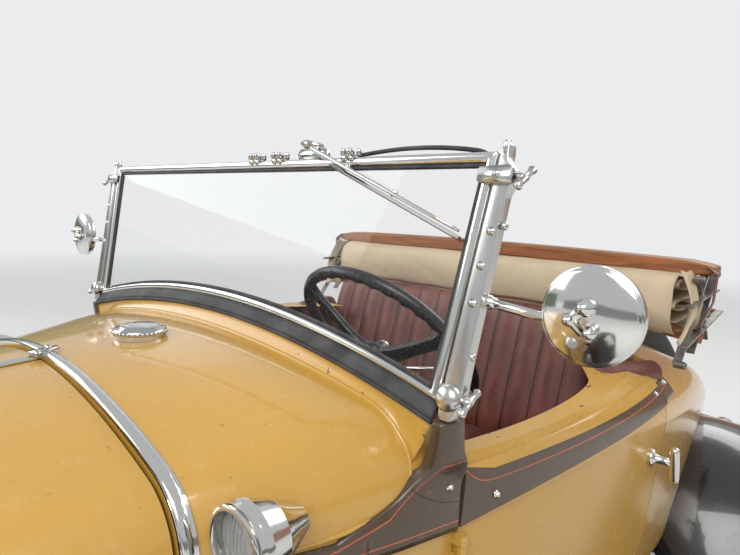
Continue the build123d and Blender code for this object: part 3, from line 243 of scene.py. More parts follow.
class Wire:
    """A shader socket that can be added, multiplied and compared, so that a pattern reads as a formula."""

    def __init__(self, tree, socket):
        self.tree = tree
        self.socket = socket

    def make(self, kind, settings, inputs):
        """A new node, its settings first and then its inputs, which are numbers, colours or wires."""
        node = self.tree.nodes.new(kind)
        for name, value in settings.items():
            setattr(node, name, value)
        for name, value in inputs.items():
            if isinstance(value, Wire):
                self.tree.links.new(value.socket, node.inputs[name])
            else:
                node.inputs[name].default_value = value
        return node

    def maths(self, operation, *others):
        inputs = dict(enumerate((self, *others)))
        return Wire(self.tree, self.make("ShaderNodeMath", {"operation": operation}, inputs).outputs[0])

    def __add__(self, other):
        return self.maths("ADD", other)

    def __sub__(self, other):
        return self.maths("SUBTRACT", other)

    def __rsub__(self, other):
        return (self * -1.0) + other

    def __mul__(self, other):
        return self.maths("MULTIPLY", other)

    def __truediv__(self, other):
        return self.maths("DIVIDE", other)

    def __pow__(self, other):
        return self.maths("POWER", other)

    def __gt__(self, other):
        return self.maths("GREATER_THAN", other)

    def __lt__(self, other):
        return self.maths("LESS_THAN", other)

    def __abs__(self):
        return self.maths("ABSOLUTE")

    __radd__ = __add__
    __rmul__ = __mul__

    def sine(self):
        return self.maths("SINE")

    def positive(self):
        return self.maths("MAXIMUM", 0.0)

    def at_most(self, limit):
        return self.positive().maths("MINIMUM", limit)

    def either(self, other):
        return self.maths("MAXIMUM", other)

    def ramp(self, low, high):
        """0 below low, 1 above high and straight between them."""
        return ((self - low) / (high - low)).at_most(1.0)

    def split(self):
        node = self.make("ShaderNodeSeparateXYZ", {}, {0: self})
        return [Wire(self.tree, socket) for socket in node.outputs]

    def scaled(self, x, y, z):
        settings = {"operation": "MULTIPLY"}
        return Wire(self.tree, self.make("ShaderNodeVectorMath", settings, {0: self, 1: (x, y, z)}).outputs[0])

    def noise(self, scale, detail=4.0, rough=0.55, bend=0.0):
        inputs = {"Vector": self, "Scale": scale, "Detail": detail, "Roughness": rough, "Distortion": bend}
        return Wire(self.tree, self.make("ShaderNodeTexNoise", {}, inputs).outputs[0])

    def cells(self, scale, feature="F1"):
        inputs = {"Vector": self, "Scale": scale}
        return Wire(self.tree, self.make("ShaderNodeTexVoronoi", {"feature": feature}, inputs).outputs[0])

    def mix(self, low, high):
        """The colour low where this is 0 and high where it is 1."""
        node = self.make("ShaderNodeMix", {"data_type": "RGBA"}, {0: self, 6: low, 7: high})
        return Wire(self.tree, node.outputs[2])

    def join(self, low, high, output):
        """Brings an output the shader low where this is 0 and the shader high where it is 1."""
        mix = self.make("ShaderNodeMixShader", {}, {0: self})
        self.tree.links.new(low.outputs[0], mix.inputs[1])
        self.tree.links.new(high.outputs[0], mix.inputs[2])
        self.tree.links.new(mix.outputs[0], output.inputs[0])


def shade(values, share=1.0):
    """A colour with alpha, darker or paler by a share."""
    return (*[value * share for value in values[:3]], 1.0)


def new_material(name, pattern, *values, **fixed):
    """A material whose pattern gives its colour, roughness and bump from the object's own coordinates."""
    material = bpy.data.materials.new(name)
    material.use_nodes = True
    tree = material.node_tree
    shader = tree.nodes["Principled BSDF"]
    for socket, value in fixed.items():
        shader.inputs[socket.replace("_", " ")].default_value = value
    place = Wire(tree, tree.nodes.new("ShaderNodeTexCoord").outputs["Object"])
    tint, rough, (height, strength, distance) = pattern(place, *values)
    bump = place.make("ShaderNodeBump", {}, {"Strength": strength, "Distance": distance, "Height": height})
    tree.links.new(bump.outputs[0], shader.inputs["Normal"])
    tree.links.new(tint.socket, shader.inputs["Base Color"])
    tree.links.new(rough.socket, shader.inputs["Roughness"])
    MATERIALS[name] = material
    return material


def paint_pattern(place, base, worn, chips=0.0):
    dust = place.noise(38.0, 6.0, 0.62).ramp(0.55, 0.85)
    tint = place.noise(1.7, 3.0).ramp(0.35, 0.68).mix(shade(base, 0.93), shade(base))
    dusty = (dust * 0.16).mix(tint, shade(worn))
    chipped = (place.noise(95.0, 2.0).ramp(0.725, 0.735) * chips).mix(dusty, (0.09, 0.05, 0.03, 1))
    rough = 0.20 + dust * 0.16 + place.noise(9.0).ramp(0.3, 0.8) * 0.08
    return chipped, rough, (place.noise(420.0, 2.0), 0.05, 0.0006)


def belt_mask(place):
    """Where a door shows its outside, where the belt runs on it, and the belt's thin line."""
    x, y, z = place.split()
    # The belt's lower edge climbs to the rear and arches a little; its upper edge is higher by the pillar
    low = DOOR_BELT[0] + (y + 0.16).positive() * 0.0571 + ((y + 0.16) * (0.546 - y)).positive() * 0.06
    belt = (z > low) * (z < (y * -1.0 - 0.10).positive() * 0.25 + DOOR_BELT[1])
    # The outside is what lies beyond the shoulder, which moves out along the door, or above the top edge
    side = 0.552 + (y + 0.165).at_most(0.355) * 0.169 + (y - 0.19).at_most(0.355) * 0.0676
    edge = side - 0.016 - (1.0 - z).positive() * 0.05 - (z + y * 0.1035 - 1.0285).positive() ** 2.0 * 5.6
    outside = (abs(x) > edge).either(z > 1.066)
    line = (y + 0.03).positive() * 0.012 + (y * -1.0 - 0.085).positive() ** 3.0 * 72.0 + 1.0335
    return outside, belt * outside, abs(z - line) < 0.0009


def door_pattern(place, colours):
    outside, belt, lines = belt_mask(place)
    paint, rough, bump = paint_pattern(place, colours.body, colours.dust, 0.5)
    taupe = lines.mix(shade(colours.belt), shade(colours.line))
    lining = place.noise(60.0).ramp(0.3, 0.7).mix(shade(colours.leather), shade(colours.leather, 0.6))
    rubbed = (place.scaled(1, 0.35, 1).noise(70.0, 3.0, 0.6) > 0.665) * (place.split()[2] > 1.071)
    shown = rubbed.mix(outside.mix(lining, belt.mix(paint, taupe)), (0.10, 0.05, 0.025, 1))
    return shown, rough + (1.0 - outside) * 0.3, bump


def belt_pattern(place, colours):
    """The belt's paint, with its thin lines and the seam at the pillar's foot."""
    paint, rough, bump = paint_pattern(place, colours.belt, colours.dust, 0.6)
    _, y, z = place.split()
    climb = (y + 0.3655) * 0.293 + (y + 0.29).positive() * 0.62 - (y + 0.222).positive() * 0.913
    lines = (abs(z - 0.9885) < 0.0009).either(abs(z - (climb + 1.0039)) < 0.0011)
    lines = lines.either((abs(z - 1.0402) < 0.0010) * (y > 0.5))
    seam = (abs(z - ((y + 0.165) ** 2.0 * 4.6 + 1.0195)) < 0.0011) * (y > -0.262) * (y < -0.1)
    return seam.mix(lines.mix(paint, shade(colours.line)), (0.02, 0.015, 0.01, 1)), rough, bump


def bright_pattern(place, base, pits=0.5, dull=0.07):
    spots = place.noise(260.0, 3.0, 0.7).ramp(0.66, 0.74) * pits
    rough = dull + place.noise(14.0, 4.0).ramp(0.35, 0.8) * 0.12 + spots * 0.4
    return spots.mix(shade(base), (0.22, 0.17, 0.12, 1)), rough, (place.noise(90.0, 2.0) + spots, 0.06, 0.0006)


def rough_pattern(place, base, second, scale, gloss, bump):
    fine = place.noise(scale * 9, 3.0, 0.7)
    tint = place.noise(scale, 5.0).ramp(0.35, 0.7).mix(shade(base), shade(second))
    return tint, gloss + fine.ramp(0.3, 0.8) * 0.2, (fine, bump, 0.001)


def leather_pattern(place, base, pleat=0.0):
    """Leather with its grain and creases, and with painted shade in the seams where it is pleated."""
    grain = place.cells(620.0, "DISTANCE_TO_EDGE")
    crease = place.scaled(1, 1, 0.35).noise(26.0, 5.0, 0.65, 0.8)
    worn = place.noise(5.0, 4.0).ramp(0.50, 0.74)
    tint = crease.ramp(0.3, 0.62).mix(shade(base, 0.55), shade(base))
    tint = (worn * 0.45).mix(tint, shade([min(c * 1.7 + 0.03, 1) for c in base]))
    if pleat:
        # Painted shade: the leather is darkened along the seams between the pleats, where shade falls between the
        # puffed pleats
        seam = 1.0 - abs((place.split()[0] / pleat + 0.5).maths("FRACT") - 0.5).ramp(0.020, 0.055)
        tint = (seam * 0.85).mix(tint, shade(base, 0.12))
    rough = 0.34 + worn * 0.14 + crease.ramp(0.4, 0.8) * 0.1
    return tint, rough, (grain.ramp(0.0, 0.3) * 0.5 + crease.ramp(0.35, 0.7), 0.35, 0.0009)


def canvas_pattern(place, base):
    x, y, z = place.split()
    weave = (x * 2100.0).sine() * ((y + z) * 2100.0).sine()
    stain = place.noise(6.0, 5.0, 0.6, 0.6).ramp(0.42, 0.75)
    tint = (weave.ramp(-1.0, 1.0) * 0.22).mix((stain * 0.55).mix(shade(base), shade(base, 0.62)), shade(base, 0.7))
    return tint, 0.84 + stain * 0.08, (weave + place.noise(45.0) * 2.0, 0.35, 0.0008)


def wood_pattern(place, base):
    rings = place.scaled(2.0, 22.0, 22.0).noise(2.4, 5.0, 0.6, 1.4)
    fibre = place.scaled(3.0, 260.0, 260.0).noise(2.0, 3.0, 0.7)
    tint = rings.ramp(0.35, 0.65).mix(shade(base, 0.45), shade(base))
    tint = (fibre.ramp(0.45, 0.75) * 0.4).mix(tint, shade(base, 0.4))
    return tint, 0.42 + fibre.ramp(0.3, 0.8) * 0.22, (fibre + rings, 0.22, 0.0008)


def tyre_pattern(place, base):
    wear = place.noise(18.0, 5.0)
    tint = wear.ramp(0.4, 0.7).mix(shade(base), shade(base, 1.9))
    return tint, 0.72 + wear * 0.15, (place.noise(300.0, 3.0), 0.2, 0.001)


def core_pattern(place, base):
    x, _, z = place.split()
    tubes = (x * 700.0).sine().ramp(0.1, 0.6)
    fins = (z * 1500.0).sine().ramp(-0.2, 0.6)
    return (tubes * 0.7).mix(shade(base, 0.35), shade(base)), 0.45 + fins * 0.2, (tubes + fins * 0.6, 0.7, 0.003)


def glass_pattern(place, base):
    smear = place.scaled(1, 1, 0.3).noise(7.0, 5.0, 0.65, 0.7)
    tint = smear.ramp(0.3, 0.8).mix(shade(base), shade(base, 1.02))
    return tint, smear.ramp(0.55, 0.85) * 0.06, (place.noise(3.0), 0.02, 0.001)


def lens_pattern(place, base):
    flutes = (place.split()[0] * 900.0).sine()
    tint = place.noise(20.0).mix(shade(base), shade(base, 0.9))
    return tint, 0.05 + place.noise(40.0).ramp(0.5, 0.9) * 0.1, (flutes, 0.6, 0.002)


# Mesh pieces


def new_object(name, bm, material):
    """Turns a bmesh into an object of the scene."""
    mesh = bpy.data.meshes.new(name)
    bm.to_mesh(mesh)
    bm.free()
    mesh.materials.append(material)
    made = bpy.data.objects.new(name, mesh)
    bpy.context.scene.collection.objects.link(made)
    return made


def finish_piece(name, bm, material, body="car", slot=None, smooth=True):
    """Turns a bmesh into a piece that rides on a body and has its material; its slot argument is not used."""
    bmesh.ops.recalc_face_normals(bm, faces=bm.faces)
    piece = new_object(name, bm, MATERIALS[material])
    piece.data.polygons.foreach_set("use_smooth", [smooth] * len(piece.data.polygons))
    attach(piece, body)
    return piece


def make_piece(name, material, *parts, **settings):
    """A piece of parts, each a function that adds to a mesh and what the function is given."""
    bm = bmesh.new()
    for add, *values in parts:
        add(bm, *values)
    return finish_piece(name, bm, material, **settings)


def thicken(piece, thickness):
    """Gives a sheet its thickness, half of it to each side."""
    shell = piece.modifiers.new("Solidify", "SOLIDIFY")
    shell.thickness = thickness
    shell.offset = 0


def soften(piece, width, segments=2):
    """Rounds a piece's sharp edges."""
    bevel = piece.modifiers.new("Bevel", "BEVEL")
    bevel.width = width
    bevel.segments = segments
    bevel.limit_method = "ANGLE"
    bevel.harden_normals = False
    return piece


def facing(direction):
    """The turn that brings Z to a direction."""
    return Vector(direction).to_track_quat("Z", "Y").to_matrix().to_4x4()


def ring_edges(made):
    return list({edge for vert in made["verts"] for edge in vert.link_edges})


def add_ring(bm, centre, direction, radius, sides):
    """A ring of edges square to a direction."""
    place = Matrix.Translation(centre) @ facing(direction)
    return ring_edges(bmesh.ops.create_circle(bm, segments=sides, radius=radius, matrix=place))


def add_loop(bm, points):
    """A closed loop of edges through points."""
    made = bmesh.ops.create_circle(bm, segments=len(points), radius=1)
    for vert, point in zip(made["verts"], points):
        vert.co = point
    return ring_edges(made)


def add_skin(bm, loops, closed=False):
    """A skin over loops of points, each as long as the first; its ends are capped or meet each other."""
    made = [add_loop(bm, points) for points in loops]
    for low, high in zip(made, made[1:]):
        bmesh.ops.bridge_loops(bm, edges=low + high)
    if closed:
        bmesh.ops.bridge_loops(bm, edges=made[-1] + made[0])
    else:
        for ring in (made[0], made[-1]):
            bmesh.ops.holes_fill(bm, edges=ring, sides=0)


def add_screen_plate(bm, side, line, back, front):
    """A flat plate in the windscreen's plane, from how far behind it to how far in front of it."""
    add_skin(bm, [[screen_spot(side * across, up, out) for across, up in line] for out in (back, front)])


def add_screen_ring(bm, section):
    """A closed rail round the windscreen, from its section's insets and its heights over the plane."""
    loops = [[screen_spot(across, up, out) for across, up in screen_outline(inset)] for inset, out in section]
    add_skin(bm, loops, closed=True)


def add_tube(bm, points, radii, sides=12, capped=True):
    """A tube through points, with one radius or a radius at each point."""
    points = [Vector(p) for p in points]
    if isinstance(radii, float):
        radii = [radii] * len(points)
    last = None
    ends = []
    for i, (point, radius) in enumerate(zip(points, radii)):
        ahead = points[min(i + 1, len(points) - 1)]
        behind = points[max(i - 1, 0)]
        ring = add_ring(bm, point, ahead - behind, radius, sides)
        if last:
            bmesh.ops.bridge_loops(bm, edges=last + ring)
        if i in (0, len(points) - 1):
            ends.append(ring)
        last = ring
    if capped:
        for ring in ends:
            bmesh.ops.holes_fill(bm, edges=ring, sides=0)


def add_turned(bm, centre, axis, profile, sides=32):
    """A turned shape: rows of distance along the axis and radius."""
    place = Matrix.Translation(centre) @ facing(axis)
    last = None
    for along, radius in profile:
        at = place @ Matrix.Translation((0, 0, along))
        made = bmesh.ops.create_circle(bm, segments=sides, radius=max(radius, SAME), matrix=at)
        ring = ring_edges(made)
        if last:
            bmesh.ops.bridge_loops(bm, edges=last + ring)
        last = ring
    bmesh.ops.remove_doubles(bm, verts=bm.verts, dist=SAME)


def add_block(bm, centre, size, turn=None):
    place = Matrix.Translation(centre) @ (turn or Matrix.Identity(4)) @ Matrix.Diagonal((*size, 1))
    return bmesh.ops.create_cube(bm, size=1, matrix=place)["verts"]


def add_bar(bm, start, end, width, thick, up=(0, 0, 1)):
    """A flat bar between two points; its width is square to up."""
    start, end, up = Vector(start), Vector(end), Vector(up)
    along = (end - start).normalized()
    side = along.cross(up).normalized()
    flat = side.cross(along)
    turn = Matrix((side, flat, along)).transposed().to_4x4()
    return add_block(bm, (start + end) / 2, (width, thick, (end - start).length), turn)


def add_grid_sheet(bm, rows):
    """A sheet of quads through rows of points, each row as long as the first."""
    across, down = len(rows[0]) - 1, len(rows) - 1
    made = bmesh.ops.create_grid(bm, x_segments=across, y_segments=down, size=1)
    for vert in made["verts"]:
        i = round((vert.co.x + 1) / 2 * across)
        j = round((vert.co.y + 1) / 2 * down)
        vert.co = rows[j][i]


def puff(piece, pressure, cap, held=()):
    """Swells a closed piece like a stuffed cushion; held points are sewn down."""
    group = piece.vertex_groups.new(name="held")
    group.add(list(held), 1.0, "REPLACE")
    cloth = piece.modifiers.new("Cloth", "CLOTH")
    cloth.settings.use_pressure = True
    cloth.settings.uniform_pressure_force = pressure
    cloth.settings.effector_weights.gravity = 0
    cloth.settings.quality = 4
    cloth.settings.vertex_group_mass = "held"
    cloth.collision_settings.use_collision = False
    context = bpy.context
    before = [v.co.copy() for v in piece.data.vertices]
    for frame in range(1, PUFF_FRAMES + 1):
        context.scene.frame_set(frame)
    with context.temp_override(object=piece, active_object=piece):
        bpy.ops.object.modifier_apply(modifier="Cloth")
    context.scene.frame_set(1)
    piece.vertex_groups.clear()
    for vert, start in zip(piece.data.vertices, before):
        move = vert.co - start
        if move.length > cap:
            move = move.normalized() * cap
        vert.co = start + move


# The add-on's settings


def paint_setting(name, description, default):
    return bpy.props.FloatVectorProperty(name=name, description=description, default=default, subtype="COLOR")


def length_setting(name, description, default):
    return bpy.props.FloatProperty(
        name=name, description=description, default=default, unit="LENGTH", subtype="DISTANCE"
    )


class RoadsterColours(bpy.types.PropertyGroup):
    body: paint_setting("Body", "Paint of the body panels", (0.56, 0.315, 0.055))
    dust: paint_setting("Dust", "Dust on the paint", (0.62, 0.50, 0.33))
    belt: paint_setting("Belt", "Paint of the belt moulding", (0.082, 0.052, 0.032))
    line: paint_setting("Lines", "Thin lines on the belt", (0.55, 0.10, 0.03))
    leather: paint_setting("Leather", "Leather of the seats", (0.150, 0.040, 0.026))
    canvas: paint_setting("Canvas", "Canvas of the folded top", (0.60, 0.48, 0.32))
    wood: paint_setting("Wood", "Wood of the top's bows", (0.36, 0.125, 0.035))
    chrome: paint_setting("Bright metal", "Plated fittings", (0.74, 0.73, 0.70))


class RoadsterSizes(bpy.types.PropertyGroup):
    bead: length_setting("Bead", "Radius of the raised beads", 0.0035)
    piping: length_setting("Piping", "Radius of the seat piping", 0.004)
    pleat: length_setting("Pleat", "Width of one seat pleat", 0.074)
    dip: length_setting("Seam", "Depth of a seat seam", 0.013)


class PieceOperator:
    """What the operators share: undo, and the scene's settings."""

    bl_options = {"REGISTER", "UNDO"}

    @property
    def colours(self):
        return bpy.context.scene.roadster_colours

    @property
    def sizes(self):
        return bpy.context.scene.roadster_sizes


class ROADSTER_OT_surfaces(PieceOperator, bpy.types.Operator):
    """Make the materials and give each CAD node its own"""

    bl_idname = "roadster.surfaces"
    bl_label = "Surfaces"

    def execute(self, context):
        c = self.colours
        black = (0.012, 0.012, 0.013)
        wheel = shade(c.body, 0.95)
        new_material("body_paint", paint_pattern, c.body, c.dust, 0.4, Coat_Weight=0.7, Coat_Roughness=0.06)
        new_material("rise_paint", paint_pattern, c.body, c.dust, 1.0, Coat_Weight=0.5, Coat_Roughness=0.1)
        new_material("door_paint", door_pattern, c, Coat_Weight=0.22, Coat_Roughness=0.12)
        new_material("belt_paint", belt_pattern, c, Coat_Weight=0.2, Coat_Roughness=0.12)
        new_material(
            "wing_paint", paint_pattern, black, (0.05, 0.045, 0.04), 0.1, Coat_Weight=0.8, Coat_Roughness=0.05
        )
        new_material("wheel_paint", paint_pattern, wheel, c.dust, 0.3, Coat_Weight=0.4)
        new_material("chrome", bright_pattern, c.chrome, Metallic=1.0)
        new_material("nickel", bright_pattern, shade(c.chrome, 0.84), 0.3, 0.20, Metallic=1.0)
        new_material("worn_chrome", bright_pattern, shade(c.chrome, 0.72), 1.0, Metallic=1.0)
        # Plain surfaces: two colours, the scale of their patches, their roughness and their bump
        for name, base, second, scale, gloss, bump in (
            ("chassis_paint", (0.02, 0.02, 0.021), (0.05, 0.045, 0.04), 8.0, 0.4, 0.2),
            ("engine_paint", (0.03, 0.06, 0.04), (0.07, 0.08, 0.06), 11.0, 0.42, 0.3),
            ("exhaust_metal", (0.09, 0.06, 0.045), (0.2, 0.11, 0.06), 20.0, 0.6, 0.4),
            ("board_rubber", (0.016, 0.016, 0.016), (0.04, 0.038, 0.036), 30.0, 0.62, 0.5),
            ("black_rubber", (0.018, 0.018, 0.02), (0.06, 0.058, 0.055), 25.0, 0.5, 0.3),
            ("black_enamel", (0.012, 0.012, 0.012), (0.03, 0.028, 0.027), 14.0, 0.18, 0.03),
            ("floor_board", (0.05, 0.03, 0.02), (0.1, 0.07, 0.045), 9.0, 0.7, 0.4),
            ("dash_metal", (0.10, 0.075, 0.05), (0.15, 0.12, 0.09), 12.0, 0.3, 0.1),
        ):
            new_material(name, rough_pattern, base, second, scale, gloss, bump)
        rust, steel = (0.15, 0.14, 0.13), (0.27, 0.25, 0.22)
        new_material("iron", rough_pattern, rust, steel, 30.0, 0.38, 0.2, Metallic=0.8)
        new_material("core_metal", core_pattern, (0.25, 0.22, 0.18), Metallic=0.6)
        new_material("tyre_rubber", tyre_pattern, (0.022, 0.022, 0.022))
        new_material("leather", leather_pattern, c.leather, Coat_Weight=0.12, Coat_Roughness=0.3)
        new_material(
            "pleated_leather", leather_pattern, c.leather, self.sizes.pleat, Coat_Weight=0.10, Coat_Roughness=0.3
        )
        new_material("canvas", canvas_pattern, c.canvas)
        new_material("wood", wood_pattern, c.wood, Coat_Weight=0.12, Coat_Roughness=0.25)
        # The glass hardly bends light, so that what is behind it isn't seen twice; its coat gives the reflections
        new_material(
            "glass", glass_pattern, (0.93, 0.95, 0.94),
            Transmission_Weight=1.0, IOR=1.001, Alpha=0.30, Coat_Weight=1.0, Coat_Roughness=0.02,
        )
        new_material("lens", lens_pattern, (0.88, 0.9, 0.9), Transmission_Weight=0.75, IOR=1.45)

        # A CAD node takes the material of its own name, or else of its slot, or else the one with its slot's name
        by_slot = {
            "screen_metal": "chrome", "wheel_rim": "wheel_paint", "tank_paint": "wing_paint", "bow_wood": "wood",
            "screen_glass": "glass", "lamp_glass": "lens",
        }
        by_node = {
            "door_left": "door_paint", "door_right": "door_paint", "windscreen_posts": "chrome",
            "windscreen_frame": "chrome", "steering_wheel": "black_enamel", "steering_column": "black_enamel",
            "top_irons": "iron", "cowl_trim": "chrome",
        }
        slots = {row["node"]: row["material_slot"] for row in FRAME["record"]["subparts"]}
        for name, node in FRAME["nodes"].items():
            slot = slots.get(name, "chassis_paint")
            material = by_node.get(name) or by_slot.get(slot, slot)
            node.data.materials.clear()
            node.data.materials.append(MATERIALS.get(material, MATERIALS["chassis_paint"]))
        return {"FINISHED"}


def spaced(points, count):
    """A closed outline's points, evenly spaced."""
    points = [*points, points[0]]
    runs = [(b - a).length for a, b in zip(points, points[1:])]
    made, done, i = [], 0.0, 0
    for step in range(count):
        goal = sum(runs) * step / count
        while done + runs[i] < goal:
            done += runs[i]
            i += 1
        made.append(points[i].lerp(points[i + 1], (goal - done) / runs[i]))
    return made


def seat_pad(name, low, high, rows, sizes, sewn, body="car", crown=100.0):
    """A pad lofted across the car, its cover sewn down between pleats that its filling swells."""
    outline = spaced(rounded(rows, 0.045, 6), PAD_POINTS)
    centre = sum(outline, Vector((0, 0))) / len(outline)
    half = (high - low) / 2
    pleats = int(half / sizes.pleat + SAME)
    sewn_half = pleats * sizes.pleat
    rest = half - sewn_half
    spots = steps(0, sewn_half, pleats * PLEAT_STEPS)
    if rest > NARROWEST:
        spots += steps(sewn_half, half, 6)[1:]
    spots = [-x for x in reversed(spots[1:])] + spots
    loops, held = [], []
    for i, across in enumerate(spots):
        share = abs(across) / half
        phase = abs(across) / sizes.pleat % 1.0
        if abs(across) > sewn_half + SAME:
            phase = (abs(across) - sewn_half) / rest
        pull = 1 - 0.09 * share**14
        seam = 1 - abs(sin(pi * phase)) ** 0.6
        loop = []
        for k, point in enumerate(outline):
            along = outline[(k + 1) % PAD_POINTS] - outline[k - 1]
            out = Vector((along.y, -along.x)).normalized()
            if out.dot(point - centre) < 0:
                out = -out
            stitched = sewn(point)
            flat = centre + (point - centre) * pull - out * (seam * stitched * sizes.dip)
            if seam > 0.99 or not stitched:
                held.append(i * PAD_POINTS + k)
            loop.append((across, flat.x, flat.y - across**2 / (2 * crown)))
        loops.append(loop)
    bm = bmesh.new()
    add_skin(bm, loops)
    piece = finish_piece(name, bm, "pleated_leather", body)
    puff(piece, PUFF_PRESSURE, PUFF_CAP, held)
    smooth = piece.modifiers.new("Subdivision", "SUBSURF")
    smooth.levels = smooth.render_levels = 1
    return piece


class ROADSTER_OT_bench(PieceOperator, bpy.types.Operator):
    """Add the bench seat's cushion and back"""

    bl_idname = "roadster.bench"
    bl_label = "Bench seat"

    def execute(self, context):
        sizes = self.sizes
        low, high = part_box("seat_cushion")
        edge = 0.012
        y0, y1, z0, z1 = low.y + edge, high.y - edge, low.z + 0.004, high.z - 0.012
        rows = [
            (y0, z0), (y0 - 0.006, z1 - 0.05), (y0 + 0.01, z1 - 0.012), (y0 + 0.05, z1),
            (y1 - 0.08, z1), (y1 - 0.02, z1 - 0.006), (y1, z1 - 0.03), (y1, z0),
        ]
        cushion = seat_pad("bench_cushion", low.x + edge, high.x - edge, rows, sizes, lambda p: p.y > z1 - 0.05)
        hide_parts("seat_cushion")

        low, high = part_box("seat_back")
        top = high.z - 0.012
        rows = [
            (low.y + 0.016, 0.615), (low.y + 0.018, 0.86), (low.y + 0.100, top - 0.045),
            (low.y + 0.118, top - 0.014), (low.y + 0.144, top), (high.y - 0.022, top - 0.012),
            (high.y - 0.010, top - 0.045), (low.y + 0.076, 0.615),
        ]

        def in_front(point):
            return point.x < low.y + 0.135 and 0.63 < point.y < top - 0.012

        back = seat_pad("bench_back", low.x + edge, high.x - edge, rows, sizes, in_front)
        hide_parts("seat_back")

        points = [
            (across, low.y + 0.150, top + 0.0025 + 0.001 * sin(across * 40))
            for across in steps(low.x + 0.02, high.x - 0.02, 60)
        ]
        make_piece("bench_piping", "leather", (add_tube, points, sizes.piping, 8))
        rest = [
            (-0.10, 0.0), (-0.098, 0.020), (-0.085, 0.030), (0.0, 0.034), (0.09, 0.030), (0.104, 0.02), (0.108, 0.0),
        ]
        for side, word in SIDES:
            place, along = (side * 0.545, 0.53, 1.062), (side * 0.09, 0.28, -0.01)
            pad = make_piece(f"arm_rest_{word}", "leather", (add_turned, place, along, rest, 24))
        return {"FINISHED"}


class ROADSTER_OT_rumble(PieceOperator, bpy.types.Operator):
    """Add the rumble seat's cushion and back"""

    bl_idname = "roadster.rumble"
    bl_label = "Rumble seat"

    def execute(self, context):
        sizes = self.sizes
        low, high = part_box("rumble_cushion")
        edge = 0.012
        y0, y1, z0, z1 = low.y + edge, high.y - edge, low.z + 0.004, high.z - edge
        rows = [(y0, z0), (y0 - 0.004, z1 - 0.03), (y0 + 0.03, z1), (y1 - 0.04, z1), (y1, z1 - 0.03), (y1, z0)]
        cushion = seat_pad("rumble_pad", low.x + edge, high.x - edge, rows, sizes, lambda p: p.y > z1 - 0.03)
        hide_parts("rumble_cushion")

        low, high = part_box("rumble_back")
        upper = [(y, between(BODY_SECTIONS, y)[2] - 0.028) for y in steps(low.y + 0.008, high.y - 0.008, 6)]
        rows = upper + [(y, z - 0.052) for y, z in reversed(upper)]

        def facing_down(point):
            return point.y < between(BODY_SECTIONS, point.x)[2] - 0.060

        ends = low.x + 0.01, high.x - 0.01
        back = seat_pad("rumble_back_pad", *ends, rows, sizes, facing_down, "rumble_lid_body", 1.7)
        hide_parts("rumble_back")
        return {"FINISHED"}


